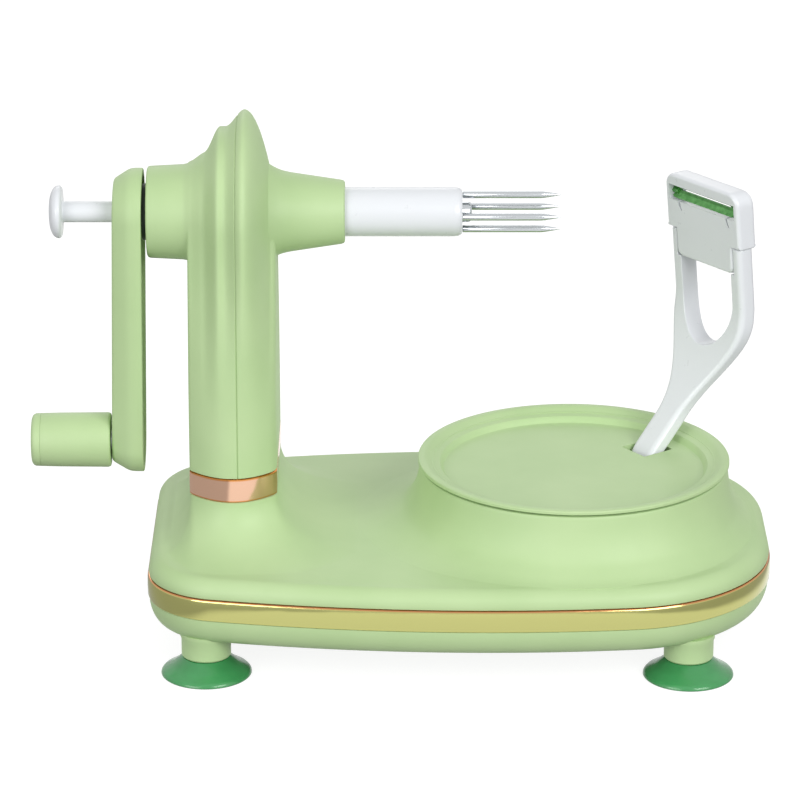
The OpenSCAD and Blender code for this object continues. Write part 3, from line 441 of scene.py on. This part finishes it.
def made_base():
    quarter = [math.radians(90 * s) for s in shares(12)]
    tray = [(EDGE + 6.5 * (1 - math.cos(a)), BAND - (BAND - FLOOR) * math.sin(a))
            for a in reversed(quarter)]
    tray += [(WALL, BAND), (WALL, FLOOR + 2.5)]
    bottom = wrapped("base_lower_tray", [level(base_edge(e), z) for e, z in tray])
    post = [(7.8, 7), (8.5, 7.15), (8.9, 7.7), (8.9, 14), (9.3, 14.8), (9.3, 16.5)]
    for x, y in CUPS:
        added(bottom, turned_z("post", post, x, y))
    for x, y in SCREWS:
        added(bottom, turned_z("boss", [(4.5, 17), (4.5, 24.6)], x, y, 40))
        cut(bottom, turned_z("counterbore", [(3.4, 10), (3.4, 18.5)], x, y, 40),
            turned_z("screw_hole", [(1.7, 18), (1.7, 30)], x, y, 24))
    for x in (SHAFT_X, IDLER_X, REDUCTION_X):
        cut(bottom, turned_z("bearing", [(3.2, 16.1), (3.2, 30)], x, 0, 40))
    dressed(bottom, "base", mint, "mint_plastic", "base_bottom_plate")

    section = [(3.2, BAND), (0.7, BAND), (0.15, BAND + 0.35), (0, BAND + 0.8), (-0.1, BAND + 4),
               (0, LIP - 0.8), (0.12, LIP - 0.45), (0.4, LIP - 0.1), (0.8, LIP), (3.2, LIP), (3.2, BAND)]
    band = wrapped("base_gold_band", [level(base_edge(e), z) for e, z in section])
    dressed(band, "base", gold, "gold_trim", "base_trim_band", angle=25)

    shell = [(3.5, BAND), (3.5, LIP + 0.05), (1, LIP + 0.05), (0.6, LIP + 0.3)]
    shell += [(EDGE + 5.6 * (1 - math.cos(a)), LIP + 1 + (DECK - LIP - 1) * math.sin(a)) for a in quarter]
    deck = wrapped("base_deck", [level(base_edge(e), z) for e, z in shell])
    slope = flowing([(14, 10, DECK - 0.15), (11.4, 6.5, DECK + 0.9), (8.8, 3.5, DECK + 2.6),
                     (5.2, 1, DECK + 5.8), (2.6, 0.2, DECK + 10.5), (1, 0, DECK + 15.5),
                     (0, 0, COLLAR_TOP - 0.7)])
    lip = [(-0.25, 0, COLLAR_TOP - 0.2), (-0.8, 0, COLLAR_TOP), (WELL_R + 0.2 - COLLAR_R, 0, COLLAR_TOP)]
    collar = [(14, 10, DECK - 3.2)] + slope + lip
    added(deck, wrapped("collar", [collar_ring(*spot) for spot in collar]))
    foot = [level(foot_plan(1), DECK - 2.2)]
    foot += [level(foot_plan(1 - s), mix(DECK - 0.15, RING - 1.2, s ** 1.2)) for s in shares(24)]
    foot += [level(column_plan(0), RING - 0.25), level(column_plan(-0.3), RING)]
    added(deck, wrapped("foot", foot))
    cut(deck, wrapped("inside", [level(base_edge(WALL), z) for z in (BAND - 5, DECK - 3)]),
        turned_z("under", [(WELL_R, DECK - 4), (WELL_R, WELL - 3)], DISC_X, 0, 96),
        turned_z("well", [(WELL_R, WELL), (WELL_R, COLLAR_TOP + 5)], DISC_X, 0, 128),
        wrapped("leg", [level(column_plan(-2.8), z) for z in (DECK - 5, RING + 5)]))
    added(deck, turned_z("bearing", [(14, 31.3), (14, WELL + 0.5)], DISC_X, 0, 64))
    cut(deck, turned_z("bore", [(9.06, 30), (9.06, WELL + 3)], DISC_X, 0, 64))
    dressed(deck, "base", mint, "mint_plastic", "base_upper_shell", angle=28)

    section = [(-2.9, RING + 0.05), (-0.4, RING + 0.05), (0, RING + 0.4), (0.1, RING + 4.6),
               (0, RING_TOP - 0.5), (-0.4, RING_TOP - 0.15), (-2.9, RING_TOP - 0.15), (-2.9, RING + 0.05)]
    ring = wrapped("column_gold_ring", [level(column_plan(e), z) for e, z in section])
    dressed(ring, "base", gold, "gold_trim", "column_ring", angle=25)

    cup = [(0.05, 4.6), (4.5, 4.4)] + flowing([(8, 3.9), (11.5, 2.6), (14, 0.9), (14.7, 0.05)], 4)
    cup += [(16, 0.05), (16.3, 0.4), (16.2, 1)]
    cup += flowing([(15.6, 1.7), (12.6, 3.5), (10.2, 5.4), (8.5, 6.8)], 5)
    cup += [(4, 6.85), (3.9, 12.4), (0.05, 12.4)]
    suckers = [turned_z("cup", cup, x, y, 80) for x, y in CUPS]
    dressed(joined("suction_cups_vinyl", suckers), "base", vinyl, "cup_vinyl", "suction_cups")


# Column

def ring_depth(x):
    """Half depth of the column at the ring."""
    return HEAD_R - (HEAD_R - END_DEPTH) * ((x - COL_X) / COL_HALF) ** 2


def grown_plan(left, right, deep, ease_in=0, n=36):
    """Plan of the column, a bowed front and back between flat ends, grown outwards, its corners eased."""
    front = []
    start = 0.93 - 0.5 * ease_in
    for x in (mix(COL_L, COL_R, s) for s in shares(n)):
        corner = max(0, abs(x - COL_X) / COL_HALF - start) / (1 - start)
        wide = COL_HALF + (left if x < COL_X else right)
        front.append((COL_X + (x - COL_X) * wide / COL_HALF,
                      -ring_depth(x) - deep + (0.8 + 13 * ease_in) * corner ** 2))
    return front_and_back(front)


def column_plan(e):
    return grown_plan(e, e, e)


def foot_plan(s):
    """Plan of the foot at share s of the way down from the ring to the deck."""
    k = 0.35 * s ** 1.4 + 0.65 * s ** 3
    return grown_plan(k * FLARE_LEFT, k * FLARE_RIGHT, k * FLARE_DEEP, k)


def head_at(x):
    """Radius of the head along X: three steps on the crank side, one round fall on the fork side."""
    if x < PEAK:
        foot = HUB_R + 1.6
        # Place, width and height of each step
        rises = [(COL_L + 3.2, 6.6, 3.4), (COL_L + 8.5, 6, 9.2), (SPLIT - 0.9, 7, HEAD_R - foot - 12.6)]
        return foot + sum(h * ease((x - c) / w + 0.5) for c, w, h in rises)
    t = min(1, (x - PEAK) / 9.4)
    return NOSE_R0 + 0.8 + (HEAD_R - NOSE_R0 - 0.8) * (1 - t * t)


def depth_at(x, z):
    """Half depth of the column: the head's steps fade downwards into the ring's bow."""
    up = max(0, (z - RING_TOP) / (AXIS - RING_TOP))
    return mix(ring_depth(x), head_at(x), ease(up ** 1.5))


def arch(x, z0, e, depth=depth_at):
    """Slice across the column at x: two legs and a round top, moved inwards by e."""
    r = depth(x, AXIS) - e
    leg = [(x, depth(x, z) - e, z) for z in (mix(z0, AXIS, s) for s in shares(24)[:-1])]
    top = [(x, r * math.cos(math.pi * s), AXIS + r * math.sin(math.pi * s)) for s in shares(40)]
    return leg + top + [(x, -y, z) for x, y, z in reversed(leg)]


def inside(x, z):
    """Half depth of the hollow in the column."""
    side = -COLUMN_WALL if x < SPLIT else COLUMN_WALL
    beside = min(COL_R, max(COL_L, x + side))
    return min(depth_at(x, z), depth_at(beside, z)) - COLUMN_WALL


def column_room(x0, x1):
    return wrapped("room", [arch(mix(x0, x1, s), RING_TOP - 4, 0, inside) for s in shares(16)])


def made_column():
    z0 = RING_TOP + 0.1
    slices = [arch(COL_L, z0, 0.7), arch(COL_L + 0.2, z0, 0.3)]
    slices += [arch(mix(COL_L + 0.7, SPLIT - 0.3, s), z0, 0) for s in shares(34)]
    crank_half = wrapped("column_crank_half", slices + [arch(SPLIT - 0.02, z0, 0.35)])
    hub = along(COL_L, (2.3, HUB_R + 2.2), (0.2, HUB_R + 1.5), (-0.5, HUB_R + 0.9), (-2, HUB_R + 0.6))
    hub += along(HUB_L, (1.1, HUB_R), (0.4, HUB_R - 0.2), (0, HUB_R - 0.8), (0, 12))
    added(crank_half, turned_x("hub", hub, n=96))
    cut(crank_half, column_room(COL_L + 2.6, SPLIT + 0.5),
        turned_x("hub_room", [(HUB_L + 9, 12.6), (COL_L + 3, 12.6)]),
        turned_x("spindle_bore", [(HUB_L - 2, 6.56), (HUB_L + 10, 6.56)]))
    for y in (-SCREW_Y, SCREW_Y):
        added(crank_half, turned_x("screw_post", [(COL_L + 1, 3.8), (SPLIT - 0.02, 3.8)], y, SCREW_Z, 32))
        cut(crank_half, turned_x("screw_bore", [(COL_L - 3, 3.2), (COL_L + 3, 3.2)], y, SCREW_Z, 32),
            turned_x("screw_bore", [(COL_L + 2, 1.7), (SPLIT + 3, 1.7)], y, SCREW_Z, 24))
    dressed(crank_half, "base", mint, "mint_plastic", "column_crank_shell", angle=30)

    slices = [arch(SPLIT + 0.02, z0, 0.35)]
    slices += [arch(mix(SPLIT + 0.3, COL_R - 2.4, s), z0, 0) for s in shares(40)]
    corner = [(1.8, 0.1), (1.2, 0.35), (0.7, 0.8), (0.3, 1.5), (0, 2.6)]
    fork_half = wrapped("column_fork_half", slices + [arch(COL_R - d, z0, e) for d, e in corner])
    nose = flowing(along(COL_R, (-2.6, NOSE_R0 + 2.6), (-1, NOSE_R0 + 1.7), (0.6, NOSE_R0 + 0.9),
                         (2.4, NOSE_R0 + 0.25), (5, NOSE_R0 - 0.35)), 3)
    nose += along(NOSE_END, (-1.2, NOSE_R1), (-0.4, NOSE_R1 - 0.3), (0, NOSE_R1 - 0.9), (0, 9.6))
    added(fork_half, turned_x("nose", nose, n=96))
    bore = [(TUBE_BACK + 3, TUBE_R + 0.12), (NOSE_END - 0.5, TUBE_R + 0.12), (NOSE_END + 1, TUBE_R + 0.9)]
    cut(fork_half, column_room(SPLIT - 0.5, COL_R - 2.6),
        turned_x("nose_room", [(COL_R - 3, 11.1), (TUBE_BACK + 3.5, 11.1)]),
        turned_z("gear_room", [(12.4, AXIS - 11.6), (12.4, AXIS)], SHAFT_X, 0),
        turned_x("tube_bore", bore))
    for y in (-SCREW_Y, SCREW_Y):
        added(fork_half, turned_x("screw_post", [(SPLIT + 0.02, 3.8), (COL_R - 1, 3.8)], y, SCREW_Z, 32))
        cut(fork_half, turned_x("screw_bore", [(SPLIT - 3, 1.6), (COL_R - 3, 1.6)], y, SCREW_Z, 24))
    dressed(fork_half, "base", mint, "mint_plastic", "column_fork_shell", angle=30)


# Crank and grip

def crank_edge(e, x, n=28, lean=LEAN):
    """Side outline of the crank arm, moved inwards by e, leaning outwards towards the grip."""
    tangent = math.degrees(math.asin((CRANK_R0 - CRANK_R1) / CRANK_LEN))
    loop = (arc(0, AXIS, CRANK_R0 - e, -tangent, 180 + tangent, n)
            + arc(0, GRIP_Z, CRANK_R1 - e, 180 + tangent, 360 - tangent, n))
    return [(x - lean * (AXIS - z) / CRANK_LEN, y, z) for y, z in loop]


def made_crank():
    skin = [(4.9, 0), (4.3, 0.08), (3.8, 0.35), (3.3, 0.9), (1.05, 4.4), (0.6, 5.2), (0.28, 6), (0.08, 6.9),
            (0, 8), (0, 10.1), (0.12, 10.45), (0.4, CRANK_DEEP)]
    arm = wrapped("crank_arm_moulded", [crank_edge(e, CRANK_OUT + d, lean=mix(LEAN, 1, d / CRANK_DEEP))
                                        for e, d in skin])
    cut(arm, wrapped("room", [crank_edge(5.6, CRANK_OUT + 2.6), crank_edge(2.8, CRANK_OUT + 6.6),
                              crank_edge(2.2, CRANK_IN + 4)]))
    pin_out, pin_in = CRANK_OUT - LEAN, CRANK_IN - LEAN
    added(arm, turned_x("boss", [(CRANK_OUT + 2, 10.4), (CRANK_IN - 0.3, 10), (CRANK_IN, 9.7)]),
          turned_x("boss", [(pin_out + 2, 7.3), (pin_in - 0.3, 7), (pin_in, 6.7)], 0, GRIP_Z))
    for y in (-4.2, 4.2):
        rib = [(pin_out + 2, GRIP_Z + 4), (CRANK_OUT + 2, AXIS - 8), (CRANK_IN - 3, AXIS - 8),
               (pin_in - 3, GRIP_Z + 4)]
        added(arm, block("rib", [(x, y - 0.8, z) for x, z in rib], [(x, y + 0.8, z) for x, z in rib]))
    cut(arm, turned_x("rod_hole", [(CRANK_OUT - 3, ROD_HOLE_R), (CRANK_IN + 3, ROD_HOLE_R)], n=48),
        turned_x("hex_clear", [(CRANK_OUT + 2.6, 6.6), (CRANK_IN + 3, 6.6)], n=48),
        turned_x("pin_hole", [(pin_out - 3, 3.06), (pin_in - 1.5, 3.06)], 0, GRIP_Z, 40))
    dressed(arm, "crank", mint, "mint_plastic", "crank_arm", angle=30)

    sleeve = along(GRIP_IN, (0, 3.1), (0, 9.1), (-0.15, 9.55), (-0.5, 9.85), (-1.1, 10))
    sleeve += along(GRIP_OUT, (10, 9.85), (3.52, 9.68), (3.45, 9.65), (3.42, 9.58), (3.42, 5.1), (6.6, 5.1),
                    (6.6, 3.1))
    sleeve += [(GRIP_IN, 3.1)]
    dressed(turned_x("grip_sleeve", sleeve, 0, GRIP_Z, 96), "grip", mint, "mint_plastic", "crank_grip",
            angle=30)
    plug = along(GRIP_OUT, (3.38, 4.8), (3.38, 9.58), (3.35, 9.64), (3.28, 9.67), (1.5, 9.6), (0.8, 9.3),
                 (0.3, 8.75), (0.05, 8), (0, 7), (0, 0.05))
    dressed(turned_x("grip_end_plug", plug, 0, GRIP_Z, 96), "grip", mint, "mint_plastic", "grip_cap",
            angle=30)


# Push rod

def made_rod():
    knob = flowing(along(KNOB, (-4.75, 0.05), (-4.65, 3.2), (-4.2, 6.2), (-3.2, 8.4), (-1.9, 9.4)), 5)
    knob += along(KNOB, (-1, 9.5), (-0.4, 9.2), (0, 8.5), (0.03, 5), (0.1, 4.2), (0.22, 3.95), (0.6, 3.85),
                  (0.6, 3.7))
    dressed(turned_x("push_knob_mushroom", knob, n=80), "rod", white, "white_plastic", "push_knob", angle=40)
    rod = [(KNOB - 2, 3.78)]
    rod += along(ROD_STOP, (0, ROD_R), (0, 5.2), (0.4, 5.6), (1.8, 5.6), (2.2, 5.2), (2.2, ROD_R))
    rod += [(CAP + 2.5, ROD_R)]
    dressed(turned_x("push_rod_white", rod, n=64), "rod", white, "white_plastic", "push_rod", angle=40)
    tip = [(CAP + 2.5, 3.68)]
    tip += along(TUBE_END, (2.2, 3.68), (2.9, 3.45), (3.3, 2.9), (3.4, 2), (3.4, 0.05))
    dressed(turned_x("push_tip_steel", tip, n=64), "rod", steel, "steel", "push_tip", angle=40)


# Fork

def made_fork():
    tube = along(TUBE_BACK, (0, 5.55), (0, 10.4), (0.4, 10.8), (2.6, 10.8), (2.6, TUBE_R))
    tube += along(TUBE_END, (-3, TUBE_R), (-1.7, TUBE_R - 0.12), (-0.8, TUBE_R - 0.42), (-0.2, TUBE_R - 0.9),
                  (0, TUBE_R - 1.15), (-1.2, TUBE_R - 1.2), (-1.2, ROD_HOLE_R))
    tube += [(CAP, ROD_HOLE_R), (CAP, 6.1), (NOSE_END + 0.8, 6.1), (NOSE_END + 0.8, 5.55), (TUBE_BACK, 5.55)]
    dressed(turned_x("fork_tube_white", tube, n=96), "crank", white, "white_plastic", "fork_tube", angle=30)
    plate = along(TUBE_END, (-1.18, ROD_HOLE_R), (-1.18, TUBE_R - 1.24), (-0.25, TUBE_R - 1.24),
                  (-0.02, TUBE_R - 1.5), (-0.02, 4.4), (-0.25, ROD_HOLE_R), (-1.18, ROD_HOLE_R))
    dressed(turned_x("prong_plate_steel", plate, n=64), "crank", steel, "steel", "prong_plate", angle=30)
    wire = [(CAP + 1.2, 0.9)]
    wire += along(TUBE_END, (0.2, 0.9), (0.2, 1.2), (0.35, 1.3), (28, 1.3), (29.4, 1.2), (32, 0.78),
                  (34.6, 0.3), (35.2, 0.16), (35.38, 0.05))
    prong = turned_x("prong", wire, 0, AXIS + PRONG_OUT, 32)
    prongs = [prong]
    pivot = place(0, 0, AXIS)
    for turn in (90, 180, 270):
        copy = prong.copy()
        copy.data = prong.data.copy()
        bpy.context.collection.objects.link(copy)
        copy.data.transform(Matrix.Translation(pivot) @ Matrix.Rotation(math.radians(turn), 4, "X")
                            @ Matrix.Translation(-pivot))
        prongs.append(copy)
    dressed(joined("fork_prongs_steel", prongs), "crank", steel, "steel", "prongs", angle=40)

    # On the peeler the return spring shortens as the rod is pushed in; here it is one fixed coil
    coil = []
    for s in shares(SPRING_TURNS * 24):
        a, x = math.tau * SPRING_TURNS * s, mix(SPRING_BACK, CAP - 0.7, s)
        around = [(SPRING_WIRE_R * math.sin(b), SPRING_R + SPRING_WIRE_R * math.cos(b)) for b in circle(10)]
        coil.append([(x - d, r * math.cos(a), AXIS + r * math.sin(a)) for d, r in around])
    spring = wrapped("push_spring_wire", coil)
    dressed(spring, "crank", steel, "steel", "push_spring", angle=60)
    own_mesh(spring)


# Turntable

def made_turntable():
    rim = [(0.05, PLATE), (44, PLATE), (46.8, PLATE + 0.06), (47.5, PLATE + 0.35), (47.9, PLATE + 0.9),
           (48.3, PLATE + 1.8), (49, PLATE + 2.45), (50.2, PLATE + 2.75), (51.6, PLATE + 3.1),
           (52.8, PLATE + 3.9), (53.8, RIM - 0.25), (54.6, RIM - 0.02), (55.3, RIM),
           (DISC_R - 0.6, RIM - 0.05), (DISC_R - 0.2, RIM - 0.2), (DISC_R - 0.02, RIM - 0.5),
           (DISC_R, RIM - 1.35), (DISC_R - 0.3, RIM - 1.55), (WELL_R - 0.6, RIM - 1.6),
           (WELL_R - 0.6, PLATE - 3.4), (14, PLATE - 3.4), (14, WELL + 0.3), (9, WELL + 0.3), (9, 31),
           (0.05, 31)]
    disc = turned_z("turntable_moulded", rim, DISC_X, 0, 144)
    added(disc, arm_block("pivot_box", 23, 44.6, 13.5, WELL + 1, PLATE - 2))
    cut(disc, arm_block("slot", 28.4, 42, 6.6, WELL - 1, PLATE + 9),
        arm_block("box_room", 25.4, 42, 10.5, WELL - 1, PLATE - 3.4))
    key = [(DISC_X - 5.5, -5.5), (DISC_X + 5.5, -5.5), (DISC_X + 5.5, 5.5), (DISC_X - 5.5, 5.5)]
    added(disc, block("square", level(key, 25.6), level(key, 31.5)))
    dressed(disc, "turntable", mint, "mint_plastic", "turntable_disc", angle=28)


# Peeling arm

def bend(u):
    """Place (rho, z) along the stem's curve."""
    knots = [(PIVOT_RHO, PIVOT_Z), (PIVOT_RHO + 8, PIVOT_Z + 12.5), (YOKE_RHO + 0.5, PIVOT_Z + 32.1),
             (YOKE_RHO, BEND_TOP)]
    pulls = ((1 - u) ** 3, 3 * u * (1 - u) ** 2, 3 * u * u * (1 - u), u ** 3)
    return tuple(sum(p * k[i] for p, k in zip(pulls, knots)) for i in (0, 1))


def leaning(z):
    """Middle of the branches and the head, which lean inwards."""
    return mix(YOKE_RHO, HEAD_RHO, (z - BEND_TOP) / (HEAD_TOP - BEND_TOP))


def arm_slice(rho, z, lean, shrink=0):
    """Rounded horizontal slice of the arm, which thickens and widens from the stem up to the branches."""
    deep = mix(ARM_T, BRANCH_T, ease((z - PIVOT_Z - 24) / 30)) / 2
    d = deep / math.cos(lean) - shrink - ARM_ROUND
    w = mix(STEM_W, BRANCH_W, ease((z - 70) / 36)) - shrink - ARM_ROUND
    loop = []
    for s, t, a in ((1, 1, 0), (-1, 1, 90), (-1, -1, 180), (1, -1, 270)):
        loop += arc(rho + s * d, t * w, ARM_ROUND, a, a + 90, 5)
    return [on_arm(r, t, z) for r, t in loop]


def made_arm():
    rings = [arm_slice(PIVOT_RHO, PIVOT_Z - 3.2, 0, 0.4), arm_slice(PIVOT_RHO, PIVOT_Z - 2.6, 0),
             arm_slice(PIVOT_RHO, PIVOT_Z, 0)]
    for u in shares(40)[8:]:
        a, b = bend(u - 0.02), bend(u)
        rings.append(arm_slice(b[0], b[1], math.atan2(b[0] - a[0], b[1] - a[1])))
    for z in (116, 121, TONGUE, 131, SEAM - 0.6):
        rings.append(arm_slice(leaning(z), z, 0.1))
    rings.append(arm_slice(leaning(SEAM), SEAM - 0.15, 0.1, 0.3))
    arm = wrapped("peeler_arm_forked", rings)
    quarter = [math.radians(90 * s) for s in shares(20)]
    right = [(WINDOW_W * math.sin(a), mix(CROTCH, CROTCH + 19, 1 - math.cos(a))) for a in quarter]
    right += [(WINDOW_W, TONGUE), (TONGUE_W + 0.15, TONGUE), (TONGUE_W + 0.15, SEAM + 3)]
    window = right + mirrored(right[1:])
    cut(arm, wrapped("window", [[on_arm(rho, t, z) for t, z in window] for rho in (45, 80)]))
    broken_edges(arm, 1.3, 3)
    cut(arm, turned_t("pin_hole", PIVOT_RHO, PIVOT_Z, [(-20, 2.06), (20, 2.06)], 32))
    dressed(arm, "arm", white, "white_plastic", "peeler_arm", angle=30, flat_faces=True)


def head_ring(outline, rho, e):
    """Outline of the blade head at rho from its middle, moved inwards by e."""
    loop = []
    for i, (t, z) in enumerate(outline):
        (t0, z0), (t1, z1) = outline[i - 1], outline[(i + 1) % len(outline)]
        nt, nz = z0 - z1, t1 - t0
        size = math.hypot(nt, nz)
        loop.append(on_arm(leaning(z) + rho, t + e * nt / size, z + e * nz / size))
    return loop


def made_head():
    upper = [(TONGUE_W, SEAM + 0.3), (YOKE_W - 0.4, SEAM), (YOKE_W, SEAM + 0.5), (YOKE_W, HEAD_TOP - 6)]
    upper += arc(YOKE_W - 5, HEAD_TOP - 5, 5, 0, 90, 8)
    lower = [(TONGUE_W - 3, TONGUE), (TONGUE_W - 1.4, TONGUE + 0.4), (TONGUE_W - 0.4, TONGUE + 1.4),
             (TONGUE_W, TONGUE + 3)]
    outline = upper + mirrored(upper) + mirrored(lower) + lower
    depth = [(-4.2, 1.3), (-4.1, 0.85), (-3.7, 0.35), (-3.1, 0.08), (-2.4, 0), (2.4, 0), (3.3, 0.1),
             (3.9, 0.45), (4.2, 1)]
    head = wrapped("blade_head_moulded", [head_ring(outline, d, e) for d, e in depth])
    cut(head, arm_block("slot", BLADE_RHO - 20, BLADE_RHO + 20, BLADE_END + 0.7, BLADE_Z - SLOT_HALF,
                        BLADE_Z + SLOT_HALF))
    hook = [(0.9, 0), (0.7, -3.4), (-0.1, -5.2), (-1.2, -6.4), (-1.6, -6.1), (-0.9, -5), (-0.5, -3.4),
            (-0.6, 0)]
    for t in HOOKS:
        cut(head, wrapped("hook_slit", [[on_arm(rho, t + w, BLADE_Z + h) for w, h in hook]
                                        for rho in (BLADE_RHO - 9, BLADE_RHO + 2.2)]))
    broken_edges(head, 0.4, 2)
    cut(head, turned_t("pin_hole", BLADE_RHO, BLADE_Z, [(-BLADE_END - 2, 1.06), (BLADE_END + 2, 1.06)], 24))
    dressed(head, "arm", white, "white_plastic", "blade_holder", angle=30, flat_faces=True)


def made_blade():
    section = flowing([(-1.3, 2.3), (-0.33, 1.15), (0, 0), (-0.33, -1.15), (-1.3, -2.3)], 5)
    section += flowing([(-1, -2.3), (0.3, -1.15), (0.68, 0), (0.3, 1.15), (-1, 2.3)], 5)
    ends = [(-BLADE_END, 0.75), (-BLADE_END + 0.8, 0.95), (-BLADE_END + 2.5, 1), (BLADE_END - 2.5, 1),
            (BLADE_END - 0.8, 0.95), (BLADE_END, 0.75)]
    blade = wrapped("swivel_blade_steel", [[on_arm(BLADE_RHO + r, t, BLADE_Z + k * h) for r, h in section]
                                           for t, k in ends])
    cut(blade, arm_block("slit", BLADE_RHO - 6, BLADE_RHO + 6, BLADE_END - 3.5, BLADE_Z + 0.7, BLADE_Z + 1.7))
    for t0, t1 in ((-BLADE_END - 1.8, -BLADE_END + 2), (BLADE_END - 2, BLADE_END + 1.8)):
        stub = [(t0, 0.8), (mix(t0, t1, 0.06), 1), (mix(t0, t1, 0.94), 1), (t1, 0.8)]
        added(blade, turned_t("stub", BLADE_RHO, BLADE_Z, stub, 24))
    dressed(blade, "blade", edge_steel, "steel", "blade", angle=30)


made_base()
made_column()
made_crank()
made_rod()
made_fork()
made_turntable()
made_arm()
made_head()
made_blade()

# Finishes of the pieces that stay as the frame has them
inner_finish = {
    steel: ["base_screws", "column_screws", "grip_pin", "drive_shaft", "gear_axles", "axle_clips",
            "turntable_bolt", "turntable_washer", "arm_pivot_pin", "arm_spring"],
    # the spindle's dark green paints in the shade of the gap between crank and hub
    oxide_with_gap_shade: ["main_spindle"],
    acetal: ["shaft_bearing", "spindle_bevel", "shaft_bevel", "shaft_pinion", "idler_gear",
             "reduction_gear", "turntable_gear"],
}
for material, names in inner_finish.items():
    for name in names:
        nodes[name].data.materials.clear()
        nodes[name].data.materials.append(material)

# Floor: white to the camera, with the shadow kept
FLOOR_GLOW, FLAG_GLOW = 0.88, 0.3
FLAG_MIDDLE, FLAG_START, FLAG_END = 0.04, 0.125, 0.16
clear()
bpy.ops.mesh.primitive_plane_add(size=8, location=(0, 0, 0))
floor = bpy.context.object
floor.name = "studio_floor"
floor_paint = bpy.data.materials.new("studio_floor_white_paint")
floor_paint.use_nodes = True
tree = floor_paint.node_tree
paint = tree.nodes["Principled BSDF"]
paint.inputs["Base Color"].default_value = tone("#8c8c8c")
paint.inputs["Roughness"].default_value = 0.9
paint.inputs["Specular IOR Level"].default_value = 0.1
path = tree.nodes.new("ShaderNodeLightPath").outputs
seen = maths(tree, "MAXIMUM", path["Is Camera Ray"], path["Is Transmission Ray"])
# In the trim the floor darkens to both sides, as between two studio flags; metres along X
spot = tree.nodes.new("ShaderNodeNewGeometry")
across = node(tree, "ShaderNodeSeparateXYZ", [("Vector", spot.outputs["Position"])]).outputs["X"]
aside = maths(tree, "ABSOLUTE", maths(tree, "SUBTRACT", across, FLAG_MIDDLE))
flags = ranged(tree, aside, FLOOR_GLOW, FLAG_GLOW, FLAG_START, FLAG_END, interpolation_type="SMOOTHSTEP")
glow = maths(tree, "MAXIMUM", maths(tree, "MULTIPLY", seen, FLOOR_GLOW),
             maths(tree, "MULTIPLY", path["Is Glossy Ray"], flags))
paint.inputs["Emission Color"].default_value = (1, 1, 1, 1)
tree.links.new(glow, paint.inputs["Emission Strength"])
floor.data.materials.append(floor_paint)

# White studio all round, dimmer as a light than it looks
world = bpy.data.worlds.new("studio")
bpy.context.scene.world = world
world.use_nodes = True
tree = world.node_tree
sky = tree.nodes["Background"]
path = tree.nodes.new("ShaderNodeLightPath").outputs
seen = maths(tree, "MAXIMUM", maths(tree, "MAXIMUM", path["Is Camera Ray"], path["Is Glossy Ray"]),
             path["Is Transmission Ray"])
sky.inputs["Color"].default_value = (1, 1, 1, 1)
tree.links.new(ranged(tree, seen, 0.5, 1.0), sky.inputs["Strength"])


def lamp(name, where, size, watts):
    """A soft lamp turned towards the part's middle."""
    data = bpy.data.lights.new(name, "AREA")
    data.shape = "RECTANGLE"
    data.size, data.size_y = size
    data.energy = watts
    made = bpy.data.objects.new(name, data)
    bpy.context.collection.objects.link(made)
    made.location = where
    made.rotation_euler = (Vector((0, 0, 0.09)) - Vector(where)).to_track_quat("-Z", "Y").to_euler()


lamp("key_softbox", (0.95, -1.38, 0.9), (1.0, 0.9), 19)
lamp("fill_softbox", (-1.0, -1.4, 0.6), (1.0, 1.0), 12.3)
lamp("back_softbox", (-0.3, 1.6, 0.9), (1.2, 0.8), 4)

# Camera at the photograph's angle: a long lens, 20.4 degrees down
eye = bpy.data.cameras.new("camera")
eye.lens = 202.5
eye.sensor_width = 36
eye.shift_y = 0.0694
eye.clip_end = 20
camera = bpy.data.objects.new("camera", eye)
bpy.context.collection.objects.link(camera)
camera.location = (-0.00035, -1.5428, 0.638)
camera.rotation_euler = (math.radians(69.6), 0, 0)
bpy.context.scene.camera = camera
bpy.context.scene.view_settings.view_transform = "Standard"
